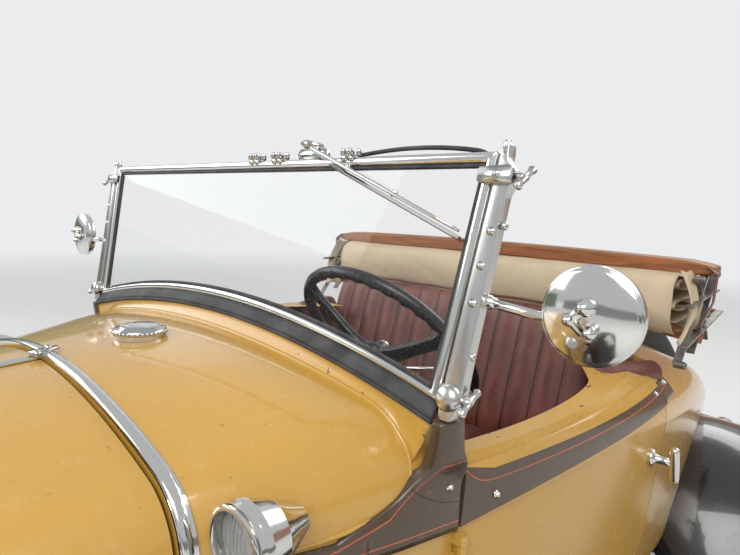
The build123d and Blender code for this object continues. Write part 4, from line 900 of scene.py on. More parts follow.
class ROADSTER_OT_top(PieceOperator, bpy.types.Operator):
    """Add the folded top: its canvas, wooden bows, irons and straps"""

    bl_idname = "roadster.top"
    bl_label = "Folded top"

    def execute(self, context):
        # The canvas in section, from its inner end through its folds to its outer end
        smooth = curve_through(
            [
                (0.735, 1.168), (0.800, 1.170), (0.870, 1.172), (0.893, 1.184), (0.860, 1.197), (0.780, 1.196),
                (0.722, 1.205), (0.722, 1.219), (0.780, 1.225), (0.860, 1.225), (0.892, 1.237), (0.860, 1.250),
                (0.780, 1.250), (0.728, 1.262), (0.760, 1.276), (0.840, 1.276), (0.900, 1.268), (0.921, 1.240),
                (0.924, 1.190), (0.914, 1.150), (0.870, 1.138), (0.790, 1.136), (0.722, 1.146), (0.696, 1.172),
                (0.685, 1.208), (0.684, 1.245), (0.696, 1.275), (0.722, 1.290), (0.770, 1.2955), (0.830, 1.295),
            ],
            4,
        )
        half = 0.585
        rows = []
        for across in steps(-half, half, 120):
            row = []
            for i, flat in enumerate(smooth):
                low = noise.noise(Vector((across * 3.4, flat.x * 6, flat.y * 13))) * 0.006
                crease = abs(noise.noise(Vector((across * 7.0 + flat.y * 16, flat.x * 3, flat.y * 5)))) ** 0.7
                fine = noise.noise(Vector((across * 19.0, flat.x * 9, flat.y * 22))) * 0.0016
                share = i / len(smooth)
                sag = -0.009 * (0.5 + 0.5 * sin(across * 10.4 + 0.9)) * share * max(0.0, 1.29 - flat.y) / 0.12
                back = (0.0065 * crease + fine) * share
                rise = (low * 0.5 + fine) * share + sag
                row.append(Vector((across + low, flat.x + back, flat.y + rise)))
            rows.append(row)
        length = sum((b - a).length for a, b in zip(smooth, smooth[1:]))
        canvas = make_piece("folded_canvas", "canvas", (add_grid_sheet, rows))
        thicken(canvas, 0.0022)
        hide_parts("folded_top")

        # The header's wooden bow, which thins to its ends
        end = 0.655
        loops = []
        for across in steps(-end, end, 40):
            middle = 1.307 + 0.008 * (1 - (across / end) ** 2)
            tall = 0.019 * (1 - 0.5 * max(0.0, abs(across) - 0.60) / 0.055)
            corners = ((-1, -1), (1, -1), (1, 1), (-1, 1))
            loops.append([(across, 0.782 + back * 0.038, middle + up * tall) for back, up in corners])
        header = make_piece("top_header", "wood", (add_skin, loops), smooth=False)
        soften(header, 0.006, 3)
        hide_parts("top_bows")

        bows = []
        for y, z, lean in ((0.865, 1.305, 0.006), (0.925, 1.20, -0.004)):
            points = [(x, y, z + lean - 0.018 * abs(x / 0.63) ** 6) for x in steps(-0.63, 0.63, 24)]
            bows.append((add_tube, points, 0.011, 10))
        make_piece("top_bows_rear", "wood", *bows)

        links = (
            ((0.62, 1.090), (0.80, 1.300)), ((0.70, 1.105), (0.86, 1.290)), ((0.60, 1.135), (0.93, 1.185)),
            ((0.86, 1.115), (0.72, 1.285)), ((0.64, 1.225), (0.90, 1.245)),
        )
        pins = ((0.62, 1.09), (0.80, 1.30), (0.745, 1.155), (0.86, 1.29), (0.72, 1.285), (0.80, 1.19))
        pin = [(0, 0), (0, 0.009), (0.024, 0.009), (0.027, 0.006), (0.028, 0)]
        belt = (
            (0.640, 0.745, 1.318), (0.664, 0.74, 1.30), (0.662, 0.735, 1.23), (0.642, 0.728, 1.17),
            (0.605, 0.722, 1.140),
        )
        for side, word in SIDES:
            x = side * 0.625
            parts = []
            for i, (start, end) in enumerate(links):
                off = side * 0.007 * (i % 3)
                parts.append((add_bar, (x + off, *start), (x + off, *end), 0.005, 0.019, (side, 0, 0.001)))
            parts += [(add_turned, (x - side * 0.006, y, z), (side, 0, 0), pin, 14) for y, z in pins]
            irons = make_piece(f"top_links_{word}", "iron", *parts, smooth=False)
            soften(irons, 0.001, 1)
            if side > 0:
                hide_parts("top_irons")

            points = [(side * 0.56, 0.735, 1.150), (side * 0.60, 0.745, 1.143), (side * 0.645, 0.752, 1.136)]
            make_piece(f"bow_end_{word}", "wood", (add_tube, points, [0.017, 0.018, 0.014], 14))

            # A flap of canvas that hangs from the header's end, by how far down and how far along it is
            rows = []
            for t in steps(0, 1, 24):
                row = []
                for u in steps(-0.5, 0.5, 8):
                    x = 0.600 + 0.030 * sin(t * 2.6) + 0.006 * sin(u * 14 + t * 3)
                    y = 0.735 - 0.040 * t + u * 0.10
                    z = 1.300 - 0.135 * t - 0.035 * t * t + 0.006 * sin(u * 9 + t * 4)
                    row.append((side * x, y, z))
                rows.append(row)
            flap = make_piece(f"canvas_flap_{word}", "canvas", (add_grid_sheet, rows))
            thicken(flap, 0.002)

            points = [(side * x, y, z) for x, y, z in belt]
            parts = [(add_bar, start, end, 0.0025, 0.022, (0, 1, 0.001)) for start, end in zip(points, points[1:])]
            strap = make_piece(f"top_strap_{word}", "leather", *parts, smooth=False)
            soften(strap, 0.0008, 1)
        return {"FINISHED"}


class ROADSTER_OT_screen_fittings(PieceOperator, bpy.types.Operator):
    """Add the windscreen's rails, its rubber and its wiper"""

    bl_idname = "roadster.screen_fittings"
    bl_label = "Windscreen fittings"

    def execute(self, context):
        # The rails and the rubber channel in section: how far in from the outline, and how far out of the plane
        half_rail = [
            (0.0002, 0.0), (0.0008, 0.0042), (0.0028, 0.0070), (0.0062, 0.0084), (0.0105, 0.0084), (0.0138, 0.0070),
            (0.0154, 0.0046), (0.0156, 0.0032),
        ]
        rail = half_rail + [(inset, -out) for inset, out in reversed(half_rail[1:])]
        half_channel = [(0.0154, 0.0038), (0.0205, 0.0045), (0.0215, 0.0032)]
        channel = half_channel + [(inset, -out) for inset, out in reversed(half_channel)]
        frame = make_piece("screen_rails", "chrome", (add_screen_ring, rail), slot="screen_metal")
        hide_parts("windscreen_frame")
        make_piece("screen_channel", "black_rubber", (add_screen_ring, channel))

        # The cowl's rise from its bead to the rubber strip, and the strip up to the lower rail
        lower = bead_path()[:37]
        rise, strip = [], []
        for j in range(-48, 49):
            share = abs(j) / 48
            place = share * (len(lower) - 1)
            foot = lower[int(place)].lerp(lower[min(int(place) + 1, len(lower) - 1)], place % 1)
            across = 0.5515 * share
            screen = screen_foot(min(across, SCREEN_HALF))
            edge = screen_spot(across, screen - 0.021, 0.013)
            rail = screen_spot(across, screen + 0.001, 0.005)
            side = 1 if j > 0 else -1
            middle = foot.lerp(edge, 0.5) + Vector((0, 0.004, -0.002))
            spots = (foot, foot.lerp(middle, 0.5), middle, middle.lerp(edge, 0.5), edge)
            rise.append([(side * spot.x, spot.y, spot.z) for spot in spots])
            low = edge + Vector((0, -0.003, -0.003))
            spots = (low, low.lerp(rail, 0.3) + Vector((0, -0.001, 0)), low.lerp(rail, 0.7), rail)
            strip.append([(side * spot.x, spot.y, spot.z) for spot in spots])
        thicken(make_piece("cowl_rise", "rise_paint", (add_grid_sheet, rise)), 0.002)
        thicken(make_piece("screen_rubber", "black_rubber", (add_grid_sheet, strip)), 0.005)
        make_piece("screen_rubber_lip", "black_rubber", (add_tube, [row[0] for row in strip], 0.0032, 10))

        pivot, tip = screen_spot(0.212, SCREEN_HEIGHT + 0.016, 0.022), screen_spot(0.549, 0.232, 0.022)
        along = (tip - pivot).normalized()
        points = [pivot - along * 0.02, pivot, pivot + along * 0.12, tip - along * 0.06, tip]
        parts = [(add_tube, points, [0.003, 0.0042, 0.0034, 0.0028, 0.0022], 10)]
        for share in (0.04, 0.30, 0.62):
            spot = pivot.lerp(tip, share)
            parts.append((add_bar, spot + Vector((0, 0.001, 0)), spot + Vector((0, 0.010, 0)), 0.006, 0.010))
        make_piece("wiper_arm", "chrome", *parts)
        start = pivot + along * 0.06
        drop = Vector((-0.004, 0.009, -0.010))
        spine = (add_bar, start + drop, tip + drop, 0.003, 0.006, (0, 1, 0.2))
        make_piece("wiper_spine", "chrome", spine, smooth=False)
        drop = Vector((-0.005, 0.013, -0.013))
        rubber = (add_bar, start + drop, tip + drop + along * 0.004, 0.002, 0.007, (0, 1, 0.2))
        blade = make_piece("wiper_blade", "black_rubber", rubber, smooth=False)
        soften(blade, 0.0006, 1)

        front = [(0, 0), (0, 0.0055), (0.008, 0.0055), (0.010, 0.004), (0.0105, 0)]
        back = [(0, 0), (0, 0.0045), (0.010, 0.0045), (0.012, 0.003), (0.0122, 0)]
        up = (0, 0, 1)
        parts = []
        for across in (0.040, 0.112, 0.300):
            for off in (-0.008, 0.008):
                at = screen_spot(across, SCREEN_HEIGHT + 0.002, 0.0) + Vector((off, 0, 0))
                parts += [
                    (add_bar, at + Vector((0, -0.014, -0.004)), at + Vector((0, 0.016, -0.002)), 0.005, 0.010),
                    (add_turned, at + Vector((0, -0.011, 0.002)), up, front, 12),
                    (add_turned, at + Vector((0, 0.009, 0.001)), up, back, 12),
                ]
        make_piece("screen_clamps", "worn_chrome", *parts)
        motor = [(0, 0), (0, 0.009), (0.004, 0.0125), (0.060, 0.0125), (0.066, 0.009), (0.068, 0)]
        knob = [(0, 0), (0, 0.008), (0.034, 0.008), (0.040, 0.0055), (0.042, 0)]
        make_piece(
            "wiper_motor", "worn_chrome",
            (add_turned, screen_spot(0.160, SCREEN_HEIGHT + 0.010, -0.010), (1, 0, 0), motor, 24),
            (add_turned, pivot + Vector((0, 0.030, 0.0)), (0, -1, 0.1), knob, 16),
        )

        # The wiper's hose, by how far across it is, how far over the top rail and how far out of the plane
        points = [
            screen_spot(across, SCREEN_HEIGHT + over, out)
            for across, over, out in (
                (0.300, 0.006, -0.012), (0.36, 0.014, -0.014), (0.44, 0.016, -0.014), (0.51, 0.012, -0.016),
                (0.560, 0.003, -0.016), (0.572, -0.03, -0.018),
            )
        ]
        curve = bpy.data.curves.new("wiper_hose", "CURVE")
        curve.dimensions = "3D"
        spline = curve.splines.new("NURBS")
        spline.points.add(len(points) - 1)
        for point, co in zip(spline.points, points):
            point.co = (*co, 1)
        spline.order_u = 3
        spline.use_endpoint_u = True
        curve.bevel_depth = 0.0035
        curve.materials.append(MATERIALS["black_rubber"])
        hose = bpy.data.objects.new("wiper_hose", curve)
        context.scene.collection.objects.link(hose)
        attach(hose, "car")
        length = sum((b - a).length for a, b in zip(points, points[1:]))
        return {"FINISHED"}


class ROADSTER_OT_screen_posts(PieceOperator, bpy.types.Operator):
    """Add the windscreen's posts with their clamps and the mirrors"""

    bl_idname = "roadster.screen_posts"
    bl_label = "Windscreen posts"

    def execute(self, context):
        line = [
            (0.0060, -0.020), (0.0290, -0.020), (0.0350, 0.004), (0.0345, 0.020), (0.0325, 0.060), (0.0265, 0.286),
            (0.0320, 0.300), (0.0315, 0.318), (0.0190, 0.330), (0.0170, 0.345), (0.0150, 0.3555), (0.0085, 0.3550),
            (0.0065, 0.335), (0.0060, 0.286),
        ]
        line = rounded([(SCREEN_HALF + SCREEN_SLOPE * up + out, up) for out, up in line], 0.006)
        cup = [(-0.016, 0.299), (0.034, 0.297), (0.034, 0.322), (-0.016, 0.320)]
        cup = rounded([(SCREEN_HALF + SCREEN_SLOPE * 0.3 + out, up) for out, up in cup], 0.006)
        lobe = [(-0.024, 0), (-0.024, 0.013), (-0.019, 0.0175), (0.017, 0.0175), (0.022, 0.014), (0.023, 0)]
        screw = [
            (0, 0), (0, 0.0062), (0.0020, 0.0060), (0.0022, 0.0040), (0.0040, 0.0036), (0.0048, 0.0022), (0.0049, 0),
        ]
        bolt = [(0, 0), (0, 0.0055), (0.004, 0.0055), (0.007, 0.0035), (0.0072, 0)]
        socket = [(0, 0), (0, 0.0095), (0.014, 0.0095), (0.016, 0.0078), (0.022, 0.0072), (0.022, 0)]
        # A mirror from its domed back to its glass, and its nuts: place, radius and length
        mirror = [(-0.0155, 0.0)] + [(-0.0155 + 0.0095 * (k / 12) ** 2.4, 0.0555 * k / 12) for k in range(1, 13)]
        mirror += [
            (-0.0048, 0.0562), (-0.0052, 0.0572), (-0.001, 0.0583), (0.004, 0.0585), (0.009, 0.0578), (0.0115, 0.056),
            (0.0118, 0.0),
        ]
        nuts = (
            ((0.0, -0.014, 0.012), 0.0105, 0.018), ((-0.016, -0.016, -0.004), 0.0085, 0.014),
            ((0.006, -0.014, -0.016), 0.0075, 0.012),
        )
        outward = (0, -1, 0.19)
        for side, word in SIDES:
            post = make_piece(f"screen_post_{word}", "nickel", (add_screen_plate, side, line, -0.010, 0.010))
            soften(post, 0.0042, 3)
            if side > 0:
                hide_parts("windscreen_posts")

            at = screen_spot(side * (SCREEN_HALF + 0.020), 0.012)
            parts = [(add_turned, at, outward, lobe, 28), (add_screen_plate, side, cup, 0.0092, 0.0175)]
            for out, up, deep in (
                (0.012, 0.310, 0.0175), (0.0175, 0.190, 0.010), (0.0185, 0.140, 0.010), (0.020, 0.236, 0.010),
            ):
                parts.append((add_turned, post_spot(side, out, up, deep - 0.001), outward, screw, 16))
            for up in (0.070, 0.245):
                parts.append((add_turned, post_spot(side, 0.0290, up), (side, 0, 0.08), bolt, 14))
            # Wing nuts, each a stem with two wings at its end
            for up, out, long in ((0.012, 0.030, 0.020), (0.308, 0.033, 0.017)):
                at = post_spot(side, out, up, 0.002)
                reach = Vector((side * long, -0.002, 0))
                parts.append((add_tube, [at, at + reach * 0.55, at + reach], [0.0075, 0.0065, 0.0042], 14))
                hub = at + reach * 0.8
                for turn in (0.55, 0.55 + pi):
                    wing = Vector((side * 0.004, cos(turn), sin(turn)))
                    points = [hub, hub + wing * 0.012, hub + wing * 0.021, hub + wing * 0.025]
                    parts.append((add_tube, points, [0.005, 0.0042, 0.0062, 0.002], 10))
            horn = screen_spot(side * (SCREEN_HALF + SCREEN_SLOPE * 0.345 + 0.0115), 0.338, 0.0)
            for off in (-0.0055, 0.0055):
                points = [horn + Vector((0, off * wide, up)) for wide, up in ((1, 0), (1.1, 0.017), (0.9, 0.0195))]
                parts.append((add_tube, points, [0.0045, 0.0042, 0.002], 10))
            make_piece(f"post_fittings_{word}", "nickel", *parts)

            up = 0.146
            start = post_spot(side, 0.026, up)
            end = screen_spot(side * (SCREEN_HALF + SCREEN_SLOPE * up + 0.172), up - 0.014, 0.004)
            centre = end + Vector((0, 0, 0.016))
            parts = [
                (add_turned, start, end - start, socket, 6),
                (add_tube, [start, end], 0.0062, 16),
                (add_turned, centre, (0, 1, 0), mirror, 72),
            ]
            for (out, back, high), size, deep in nuts:
                nut = [
                    (0, 0), (0, size), (deep * 0.35, size), (deep * 0.4, size * 0.8), (deep * 0.75, size * 0.76),
                    (deep * 0.8, size * 0.5), (deep, size * 0.42), (deep, 0),
                ]
                parts.append((add_turned, centre + Vector((side * out, back, high)), (0, -1, 0), nut, 20))
            yoke = [
                end + Vector((side * -0.004, -0.012, -0.002)), centre + Vector((side * -0.016, -0.021, -0.004)),
                centre + Vector((0, -0.022, 0.012)),
            ]
            parts.append((add_tube, yoke, [0.006, 0.0068, 0.006], 12))
            make_piece(f"mirror_{word}", "chrome", *parts)
        return {"FINISHED"}


class ROADSTER_OT_cowl_fittings(PieceOperator, bpy.types.Operator):
    """Add the cowl's beads, its filler cap, the band's clip and the lamps' rims"""

    bl_idname = "roadster.cowl_fittings"
    bl_label = "Cowl fittings"

    def execute(self, context):
        half = bead_path()
        points = [Vector((-p.x, p.y, p.z)) for p in reversed(half[1:])] + half
        make_piece("cowl_bead", "body_paint", (add_tube, points, self.sizes.bead, 10))

        # The band over the joint of cowl and bonnet: its line over the top, down the left side and mirrored
        middle = -0.531
        section = [Vector((x, cowl_height(x, middle))) for x in steps(0, 0.335, 24)]
        section += [Vector((body_side(middle, z), z)) for z in steps(section[-1].y, 0.78, 24)[1:]]
        section = [Vector((-p.x, p.y)) for p in reversed(section[1:])] + section
        rows = []
        for i, spot in enumerate(section):
            before, after = section[max(i - 1, 0)], section[min(i + 1, len(section) - 1)]
            run = (after - before).normalized()
            out = Vector((-run.y, run.x))
            row = []
            for angle in steps(0, pi, 8):
                at = spot + out * (0.0036 + 0.0034 * sin(angle))
                row.append(Vector((at.x, middle - 0.0088 * cos(angle), at.y)))
            rows.append(row)
        make_piece("cowl_band", "chrome", (add_grid_sheet, rows))

        cap = [
            (-0.004, 0.0448), (0.0, 0.0455), (0.003, 0.0455), (0.0052, 0.043), (0.0060, 0.036), (0.0085, 0.034),
            (0.0095, 0.031), (0.0098, 0.0),
        ]
        knurl = [(0, 0.0), (0, 0.0022), (0.006, 0.0022), (0.006, 0.0)]
        up = (0, 0, 1)
        parts = [(add_turned, (0, -0.380, 1.200), up, cap, 72)]
        for angle in [2 * pi * i / 36 for i in range(36)]:
            at = (0.0452 * cos(angle), -0.380 + 0.0452 * sin(angle), 1.1965)
            parts.append((add_turned, at, up, knurl, 6))
        make_piece("filler_cap", "worn_chrome", *parts)

        roller = [(0, 0), (0, 0.0055), (0.024, 0.0055), (0.024, 0)]
        stud = [(0, 0), (0, 0.006), (0.004, 0.006), (0.0065, 0.003), (0.007, 0)]
        make_piece(
            "band_clip", "worn_chrome",
            (add_turned, (-0.012, -0.549, 1.1855), (1, 0, 0), roller, 14),
            (add_bar, (0, -0.560, 1.1875), (0, -0.516, 1.1905), 0.014, 0.0045),
            (add_turned, (0, -0.531, 1.190), up, stud, 14),
        )

        cowl_rim = [
            (-0.004, 0.0475), (-0.006, 0.045), (-0.0065, 0.0415), (-0.003, 0.0400), (0.002, 0.0435), (0.010, 0.0490),
            (0.016, 0.0487),
        ]
        head_rim = [
            (-0.006, 0.112), (-0.010, 0.107), (-0.0105, 0.099), (-0.004, 0.097), (0.004, 0.104), (0.016, 0.1145),
            (0.026, 0.114),
        ]
        for side, word in SIDES:
            for name, (x, y, z), rim, sides in (
                ("cowl_lamp_rim", (0.503, -0.511, 1.072), cowl_rim, 48),
                ("head_lamp_rim", (0.330, -1.700, 0.870), head_rim, 64),
            ):
                make_piece(f"{name}_{word}", "chrome", (add_turned, (side * x, y, z), (0, 1, 0), rim, sides))
        return {"FINISHED"}


class ROADSTER_OT_belts(PieceOperator, bpy.types.Operator):
    """Add the belt mouldings with the pillars that carry the windscreen's posts"""

    bl_idname = "roadster.belts"
    bl_label = "Belts and pillars"

    def execute(self, context):
        # One pillar by height: its front edge from inside to outside, its rear edge's width, and both along the car
        pillar = curve_through(
            [
                (1.1555, 0.5530, 0.5710, 0.5770, -0.2445, -0.1970), (1.1440, 0.5510, 0.5700, 0.5770, -0.2445, -0.1965),
                (1.1240, 0.5455, 0.5660, 0.5765, -0.2430, -0.1940), (1.1020, 0.5400, 0.5610, 0.5745, -0.2415, -0.1870),
                (1.0850, 0.5330, 0.5545, 0.5705, -0.2430, -0.1730), (1.0700, 0.5150, 0.5440, 0.5655, -0.2560, -0.1665),
                (1.0500, 0.5000, 0.5330, 0.5600, -0.2780, -0.1665), (1.0330, 0.4900, 0.5225, 0.5585, -0.3130, -0.1665),
                (1.0200, 0.4850, 0.5135, 0.5582, -0.3500, -0.1665), (1.0060, 0.4800, 0.5060, 0.5580, -0.3700, -0.1665),
                (0.9740, 0.4800, 0.5035, 0.5575, -0.3750, -0.1665),
            ],
            3,
        )
        for side, word in SIDES:
            bm = bmesh.new()
            loops = []
            for z, inner_x, front_x, rear_x, front_y, rear_y in pillar:
                middle_y = (front_y + rear_y) / 2
                bulge = (max((front_x + rear_x) / 2 + 0.002, body_side(middle_y, z) + 0.006), middle_y)
                inner = (min(inner_x, 0.545), rear_y)
                flat = [(inner_x, front_y), (front_x, front_y), bulge, (rear_x, rear_y), inner]
                loops.append([(side * p.x, p.y, z) for p in rounded(flat, 0.005, 2)])
            add_skin(bm, loops)
            for start, end, (low, top) in ((-0.5205, -0.320, FRONT_BELT), (0.546, 0.640, REAR_BELT)):
                loops = []
                for y in steps(start, end, 20):
                    ledge = [(-0.005, low), (0.0050, low + 0.0004), (0.0062, low + 0.002)]
                    ledge += [(0.0062, low + (top - low) * share) for share in (0.25, 0.5, 0.75)]
                    ledge += [(0.0062, top - 0.002), (0.0050, top - 0.0004), (-0.005, top)]
                    loops.append([(side * (body_side(y, z) + off), y, z) for off, z in ledge])
                add_skin(bm, loops)
            belt = finish_piece(f"belt_{word}", bm, "belt_paint")
            belt.data.shade_smooth()
            if side > 0:
                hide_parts("belt_moulding")
        return {"FINISHED"}


class ROADSTER_OT_door_fittings(PieceOperator, bpy.types.Operator):
    """Add the doors' handles and the snap studs along the belt"""

    bl_idname = "roadster.door_fittings"
    bl_label = "Door fittings"

    def execute(self, context):
        rose = [
            (0, 0), (0, 0.019), (0.008, 0.0185), (0.011, 0.012), (0.016, 0.0092), (0.030, 0.0082), (0.046, 0.0086),
            (0.047, 0),
        ]
        stud = [
            (0, 0), (0, 0.0068), (0.0022, 0.0064), (0.0028, 0.0042), (0.0062, 0.0040), (0.0078, 0.0022), (0.0079, 0),
        ]
        shares = (-0.045, -0.025, 0.06, 0.30, 0.5, 0.70, 0.94, 1.025, 1.045)
        radii = [0.004, 0.0085, 0.0101, 0.0104, 0.0108, 0.0104, 0.0101, 0.0085, 0.004]
        for side, word in SIDES:
            door = f"door_{word}_body"
            foot = Vector((side * (body_side(0.481, 0.905) - 0.006), 0.481, 0.905))
            top, end = Vector((side * 0.676, 0.470, 0.941)), Vector((side * 0.676, 0.494, 0.863))
            grip = (add_tube, [top.lerp(end, share) for share in shares], radii, 18)
            make_piece(f"door_handle_{word}", "chrome", (add_turned, foot, (side, 0, 0), rose, 24), grip, body=door)
            for name, body, spots in (
                (f"door_studs_{word}", door, ((-0.092, 1.006), (0.500, 1.043))),
                (f"body_studs_{word}", "car", ((-0.192, 1.046), (0.600, 1.046))),
            ):
                places = [(side * (body_side(y, z) + 0.0058), y, z) for y, z in spots]
                make_piece(name, "chrome", *[(add_turned, at, (side, 0, 0.05), stud, 16) for at in places], body=body)
        return {"FINISHED"}


class ROADSTER_OT_controls(PieceOperator, bpy.types.Operator):
    """Add the steering wheel's details and the levers"""

    bl_idname = "roadster.controls"
    bl_label = "Controls"

    def execute(self, context):
        # The steering wheel's middle and its plane, and the turns of its spokes
        centre, rake = Vector((0.172, 0.098, 1.138)), radians(40)
        spokes = [radians(turn) for turn in (18, 138, 258)]
        across = Vector((1, 0, 0))
        normal = Vector((0, cos(rake), sin(rake)))
        up = Vector((0, -sin(rake), cos(rake)))
        bm = bmesh.new()
        reach, thick, grips = 0.213, 0.0118, 36
        loops = []
        for i in range(grips * 6):
            turn = 2 * pi * i / (grips * 6)
            out = across * cos(turn) + up * sin(turn)
            grip = 0.5 + 0.5 * cos(turn * grips)
            loop = []
            for k in range(14):
                angle = 2 * pi * k / 14
                radius = thick + 0.0030 * grip * max(0.0, cos(angle - 1.22 * pi))
                loop.append(centre + out * (reach + radius * cos(angle)) + normal * (radius * 1.08 * sin(angle)))
            loops.append(loop)
        add_skin(bm, loops, closed=True)
        for turn in spokes:
            out = across * cos(turn) + up * sin(turn)
            wide = normal.cross(out)
            loops = []
            for reach, drop, width, deep in (
                (0.006, 0.044, 0.027, 0.0085), (0.040, 0.043, 0.0235, 0.0085), (0.070, 0.037, 0.0175, 0.0080),
                (0.120, 0.023, 0.0145, 0.0072), (0.175, 0.008, 0.0150, 0.0072), (0.206, 0.0, 0.0230, 0.0085),
            ):
                at = centre + out * reach - normal * drop
                flat = [(-width, -deep), (width, -deep), (width, deep), (-width, deep)]
                loops.append([at + wide * p.x + normal * p.y for p in rounded(flat, 0.004, 2)])
            add_skin(bm, loops)
        hub = [
            (-0.058, 0), (-0.058, 0.024), (-0.054, 0.034), (-0.046, 0.040), (-0.036, 0.040), (-0.031, 0.036),
            (-0.028, 0.022), (-0.012, 0.017), (-0.012, 0),
        ]
        add_turned(bm, centre, normal, hub, 36)
        wheel = finish_piece("wheel_rim_and_spokes", bm, "black_enamel", "steering_wheel_body")
        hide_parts("steering_wheel")

        button = [(0, 0), (0, 0.0145), (0.004, 0.0145), (0.009, 0.011), (0.011, 0.006), (0.0115, 0)]
        rivet = [(0.004, 0), (0.004, 0.0042), (0.0078, 0.0036), (0.0085, 0)]
        parts = [(add_turned, centre - normal * 0.014, normal, button, 28)]
        for turn in spokes:
            out = across * cos(turn) + up * sin(turn)
            for reach, drop in ((0.176, 0.002), (0.186, 0.0)):
                parts.append((add_turned, centre + out * reach - normal * drop, normal, rivet, 12))
        make_piece("horn_button", "nickel", *parts, body="steering_wheel_body")

        hub = centre - normal * 0.075
        knob = [(-0.008, 0), (-0.008, 0.006), (0, 0.009), (0.008, 0.006), (0.010, 0)]
        parts = []
        for side in (1, -1):
            base = hub + Vector((side * 0.02, 0, 0))
            knee = base + Vector((side * 0.05, 0, 0)) + normal * 0.02
            end = knee + Vector((side * 0.085, 0, 0)) + normal * 0.028 - up * 0.01
            parts += [(add_tube, [base, knee, end], 0.0035, 10), (add_turned, end, (side, 0, 0.2), knob, 14)]
        make_piece("column_levers", "chrome", *parts)

        top = (0.012, -0.07, 0.985)
        stem = [(0, -0.20, 0.585), (0, -0.19, 0.70), (0.01, -0.12, 0.90), top]
        knob = [(-0.01, 0), (-0.01, 0.008), (0.006, 0.018), (0.02, 0.018), (0.030, 0.011), (0.033, 0)]
        make_piece(
            "gear_lever", "black_enamel",
            (add_tube, stem, [0.010, 0.008, 0.007, 0.007], 12), (add_turned, top, (0, 0.3, 1), knob, 20),
        )
        return {"FINISHED"}


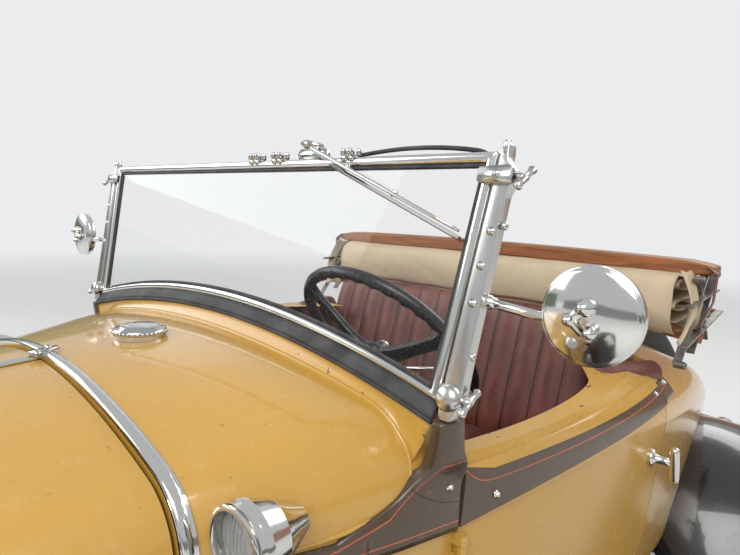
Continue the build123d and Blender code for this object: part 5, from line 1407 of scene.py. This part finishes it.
class ROADSTER_OT_studio(PieceOperator, bpy.types.Operator):
    """Add the floor, the lights and the camera"""

    bl_idname = "roadster.studio"
    bl_label = "Studio"

    def execute(self, context):
        scene = context.scene
        backdrop = (0.83, 0.84, 0.85, 1)
        far_start, far_end = 4.0, 15.0
        material = new_material("studio_floor", rough_pattern, (0.66, 0.65, 0.63), (0.70, 0.69, 0.67), 0.4, 0.75, 0.05)
        bm = bmesh.new()
        bmesh.ops.create_circle(bm, cap_ends=True, segments=96, radius=60)
        floor = new_object("studio_floor", bm, material)
        floor.location.z = -0.002
        tree = material.node_tree
        x, y, _ = Wire(tree, tree.nodes.new("ShaderNodeTexCoord").outputs["Object"]).split()
        far = ((x * x + y * y) ** 0.5).ramp(far_start, far_end)
        glow = x.make("ShaderNodeEmission", {}, {"Color": backdrop})
        far.join(tree.nodes["Principled BSDF"], glow, tree.nodes["Material Output"])

        def turn(made, place, axis, aim):
            made.location = place
            made.rotation_mode = "QUATERNION"
            made.rotation_quaternion = (aim - Vector(place)).to_track_quat(axis, "Y")

        def card(name, place, size, tint):
            """A dim panel that only reflections see."""
            material = bpy.data.materials.new(name)
            material.use_nodes = True
            inputs = material.node_tree.nodes["Principled BSDF"].inputs
            for socket, value in (("Base Color", shade(tint)), ("Emission Color", shade(tint)), ("Roughness", 0.9)):
                inputs[socket].default_value = value
            inputs["Emission Strength"].default_value = 0.7
            bm = bmesh.new()
            bmesh.ops.create_grid(bm, x_segments=1, y_segments=1, size=0.5)
            made = new_object(name, bm, material)
            made.scale = (*size, 1)
            turn(made, place, "Z", CARD_AIM)
            for ray in ("camera", "shadow", "diffuse", "transmission"):
                setattr(made, f"visible_{ray}", False)

        card("card_rear", (0, 9, 1.6), (16, 2.6), (0.22, 0.13, 0.10))
        card("card_left", (9, -1, 1.0), (16, 1.6), (0.12, 0.13, 0.12))
        card("card_right", (-9, 0, 1.2), (16, 2.2), (0.10, 0.13, 0.09))
        card("card_front", (0, -10, 0.8), (16, 1.4), (0.16, 0.16, 0.17))

        def lamp(name, place, size, power, tint):
            data = bpy.data.lights.new(name, "AREA")
            data.shape = "RECTANGLE"
            data.size, data.size_y = size
            data.energy = power
            data.color = tint
            made = bpy.data.objects.new(name, data)
            turn(made, place, "-Z", LAMP_AIM)
            scene.collection.objects.link(made)

        lamp("key", (3.0, -4.5, 6.0), (5, 4), 370, (1.0, 0.985, 0.96))
        lamp("fill", (-6.0, -3.0, 4.5), (6, 4), 190, (0.94, 0.97, 1.0))
        lamp("rear", (1.5, 6.5, 5.5), (7, 3), 220, (1.0, 0.98, 0.95))

        world = bpy.data.worlds.new("studio")
        world.use_nodes = True
        back = world.node_tree.nodes["Background"]
        back.inputs[0].default_value = (0.80, 0.83, 0.87, 1)
        back.inputs[1].default_value = 0.72
        tree = world.node_tree
        path = tree.nodes.new("ShaderNodeLightPath")
        seen = Wire(tree, path.outputs["Is Camera Ray"]).either(Wire(tree, path.outputs["Is Transmission Ray"]))
        pale = seen.make("ShaderNodeBackground", {}, {"Color": backdrop})
        seen.join(back, pale, tree.nodes["World Output"])
        scene.world = world

        data = bpy.data.cameras.new("camera")
        data.sensor_width = 36
        data.lens = CAMERA_LENS
        data.clip_start = 0.05
        data.clip_end = 200
        data.dof.use_dof = False
        yaw, pitch, roll = CAMERA_TURNS
        ahead = Vector((-sin(yaw) * cos(pitch), cos(yaw) * cos(pitch), -sin(pitch)))
        right = Vector((cos(yaw), sin(yaw), 0))
        above = right.cross(ahead)
        turned = right * cos(roll) + above * sin(roll)
        rise = above * cos(roll) - right * sin(roll)
        camera = bpy.data.objects.new("camera", data)
        place = Matrix((turned, rise, -ahead)).transposed().to_4x4()
        place.translation = CAMERA_PLACE
        camera.matrix_world = place
        scene.collection.objects.link(camera)
        scene.camera = camera
        scene.view_settings.view_transform = "Standard"
        return {"FINISHED"}


OPERATORS = (
    ROADSTER_OT_surfaces,
    ROADSTER_OT_bench,
    ROADSTER_OT_rumble,
    ROADSTER_OT_top,
    ROADSTER_OT_screen_fittings,
    ROADSTER_OT_screen_posts,
    ROADSTER_OT_cowl_fittings,
    ROADSTER_OT_belts,
    ROADSTER_OT_door_fittings,
    ROADSTER_OT_controls,
    ROADSTER_OT_studio,
)


class ROADSTER_PT_sidebar(bpy.types.Panel):
    """The add-on's panel"""

    bl_idname = "ROADSTER_PT_sidebar"
    bl_label = "Roadster"
    bl_space_type = "VIEW_3D"
    bl_region_type = "UI"
    bl_category = "Roadster"

    def draw(self, context):
        layout = self.layout
        for operator in OPERATORS:
            layout.operator(operator.bl_idname)
        for settings in (context.scene.roadster_sizes, context.scene.roadster_colours):
            for name in settings.bl_rna.properties.keys():
                if name not in {"rna_type", "name"}:
                    layout.prop(settings, name)


CLASSES = (RoadsterColours, RoadsterSizes, *OPERATORS, ROADSTER_PT_sidebar)


def register():
    for made in CLASSES:
        bpy.utils.register_class(made)
    bpy.types.Scene.roadster_colours = bpy.props.PointerProperty(type=RoadsterColours)
    bpy.types.Scene.roadster_sizes = bpy.props.PointerProperty(type=RoadsterSizes)


def unregister():
    del bpy.types.Scene.roadster_sizes
    del bpy.types.Scene.roadster_colours
    for made in reversed(CLASSES):
        bpy.utils.unregister_class(made)


def main():
    FRAME.update(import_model())
    register()
    for operator in OPERATORS:
        group, name = operator.bl_idname.split(".")
        getattr(getattr(bpy.ops, group), name)()


if __name__ == "__main__":
    main()
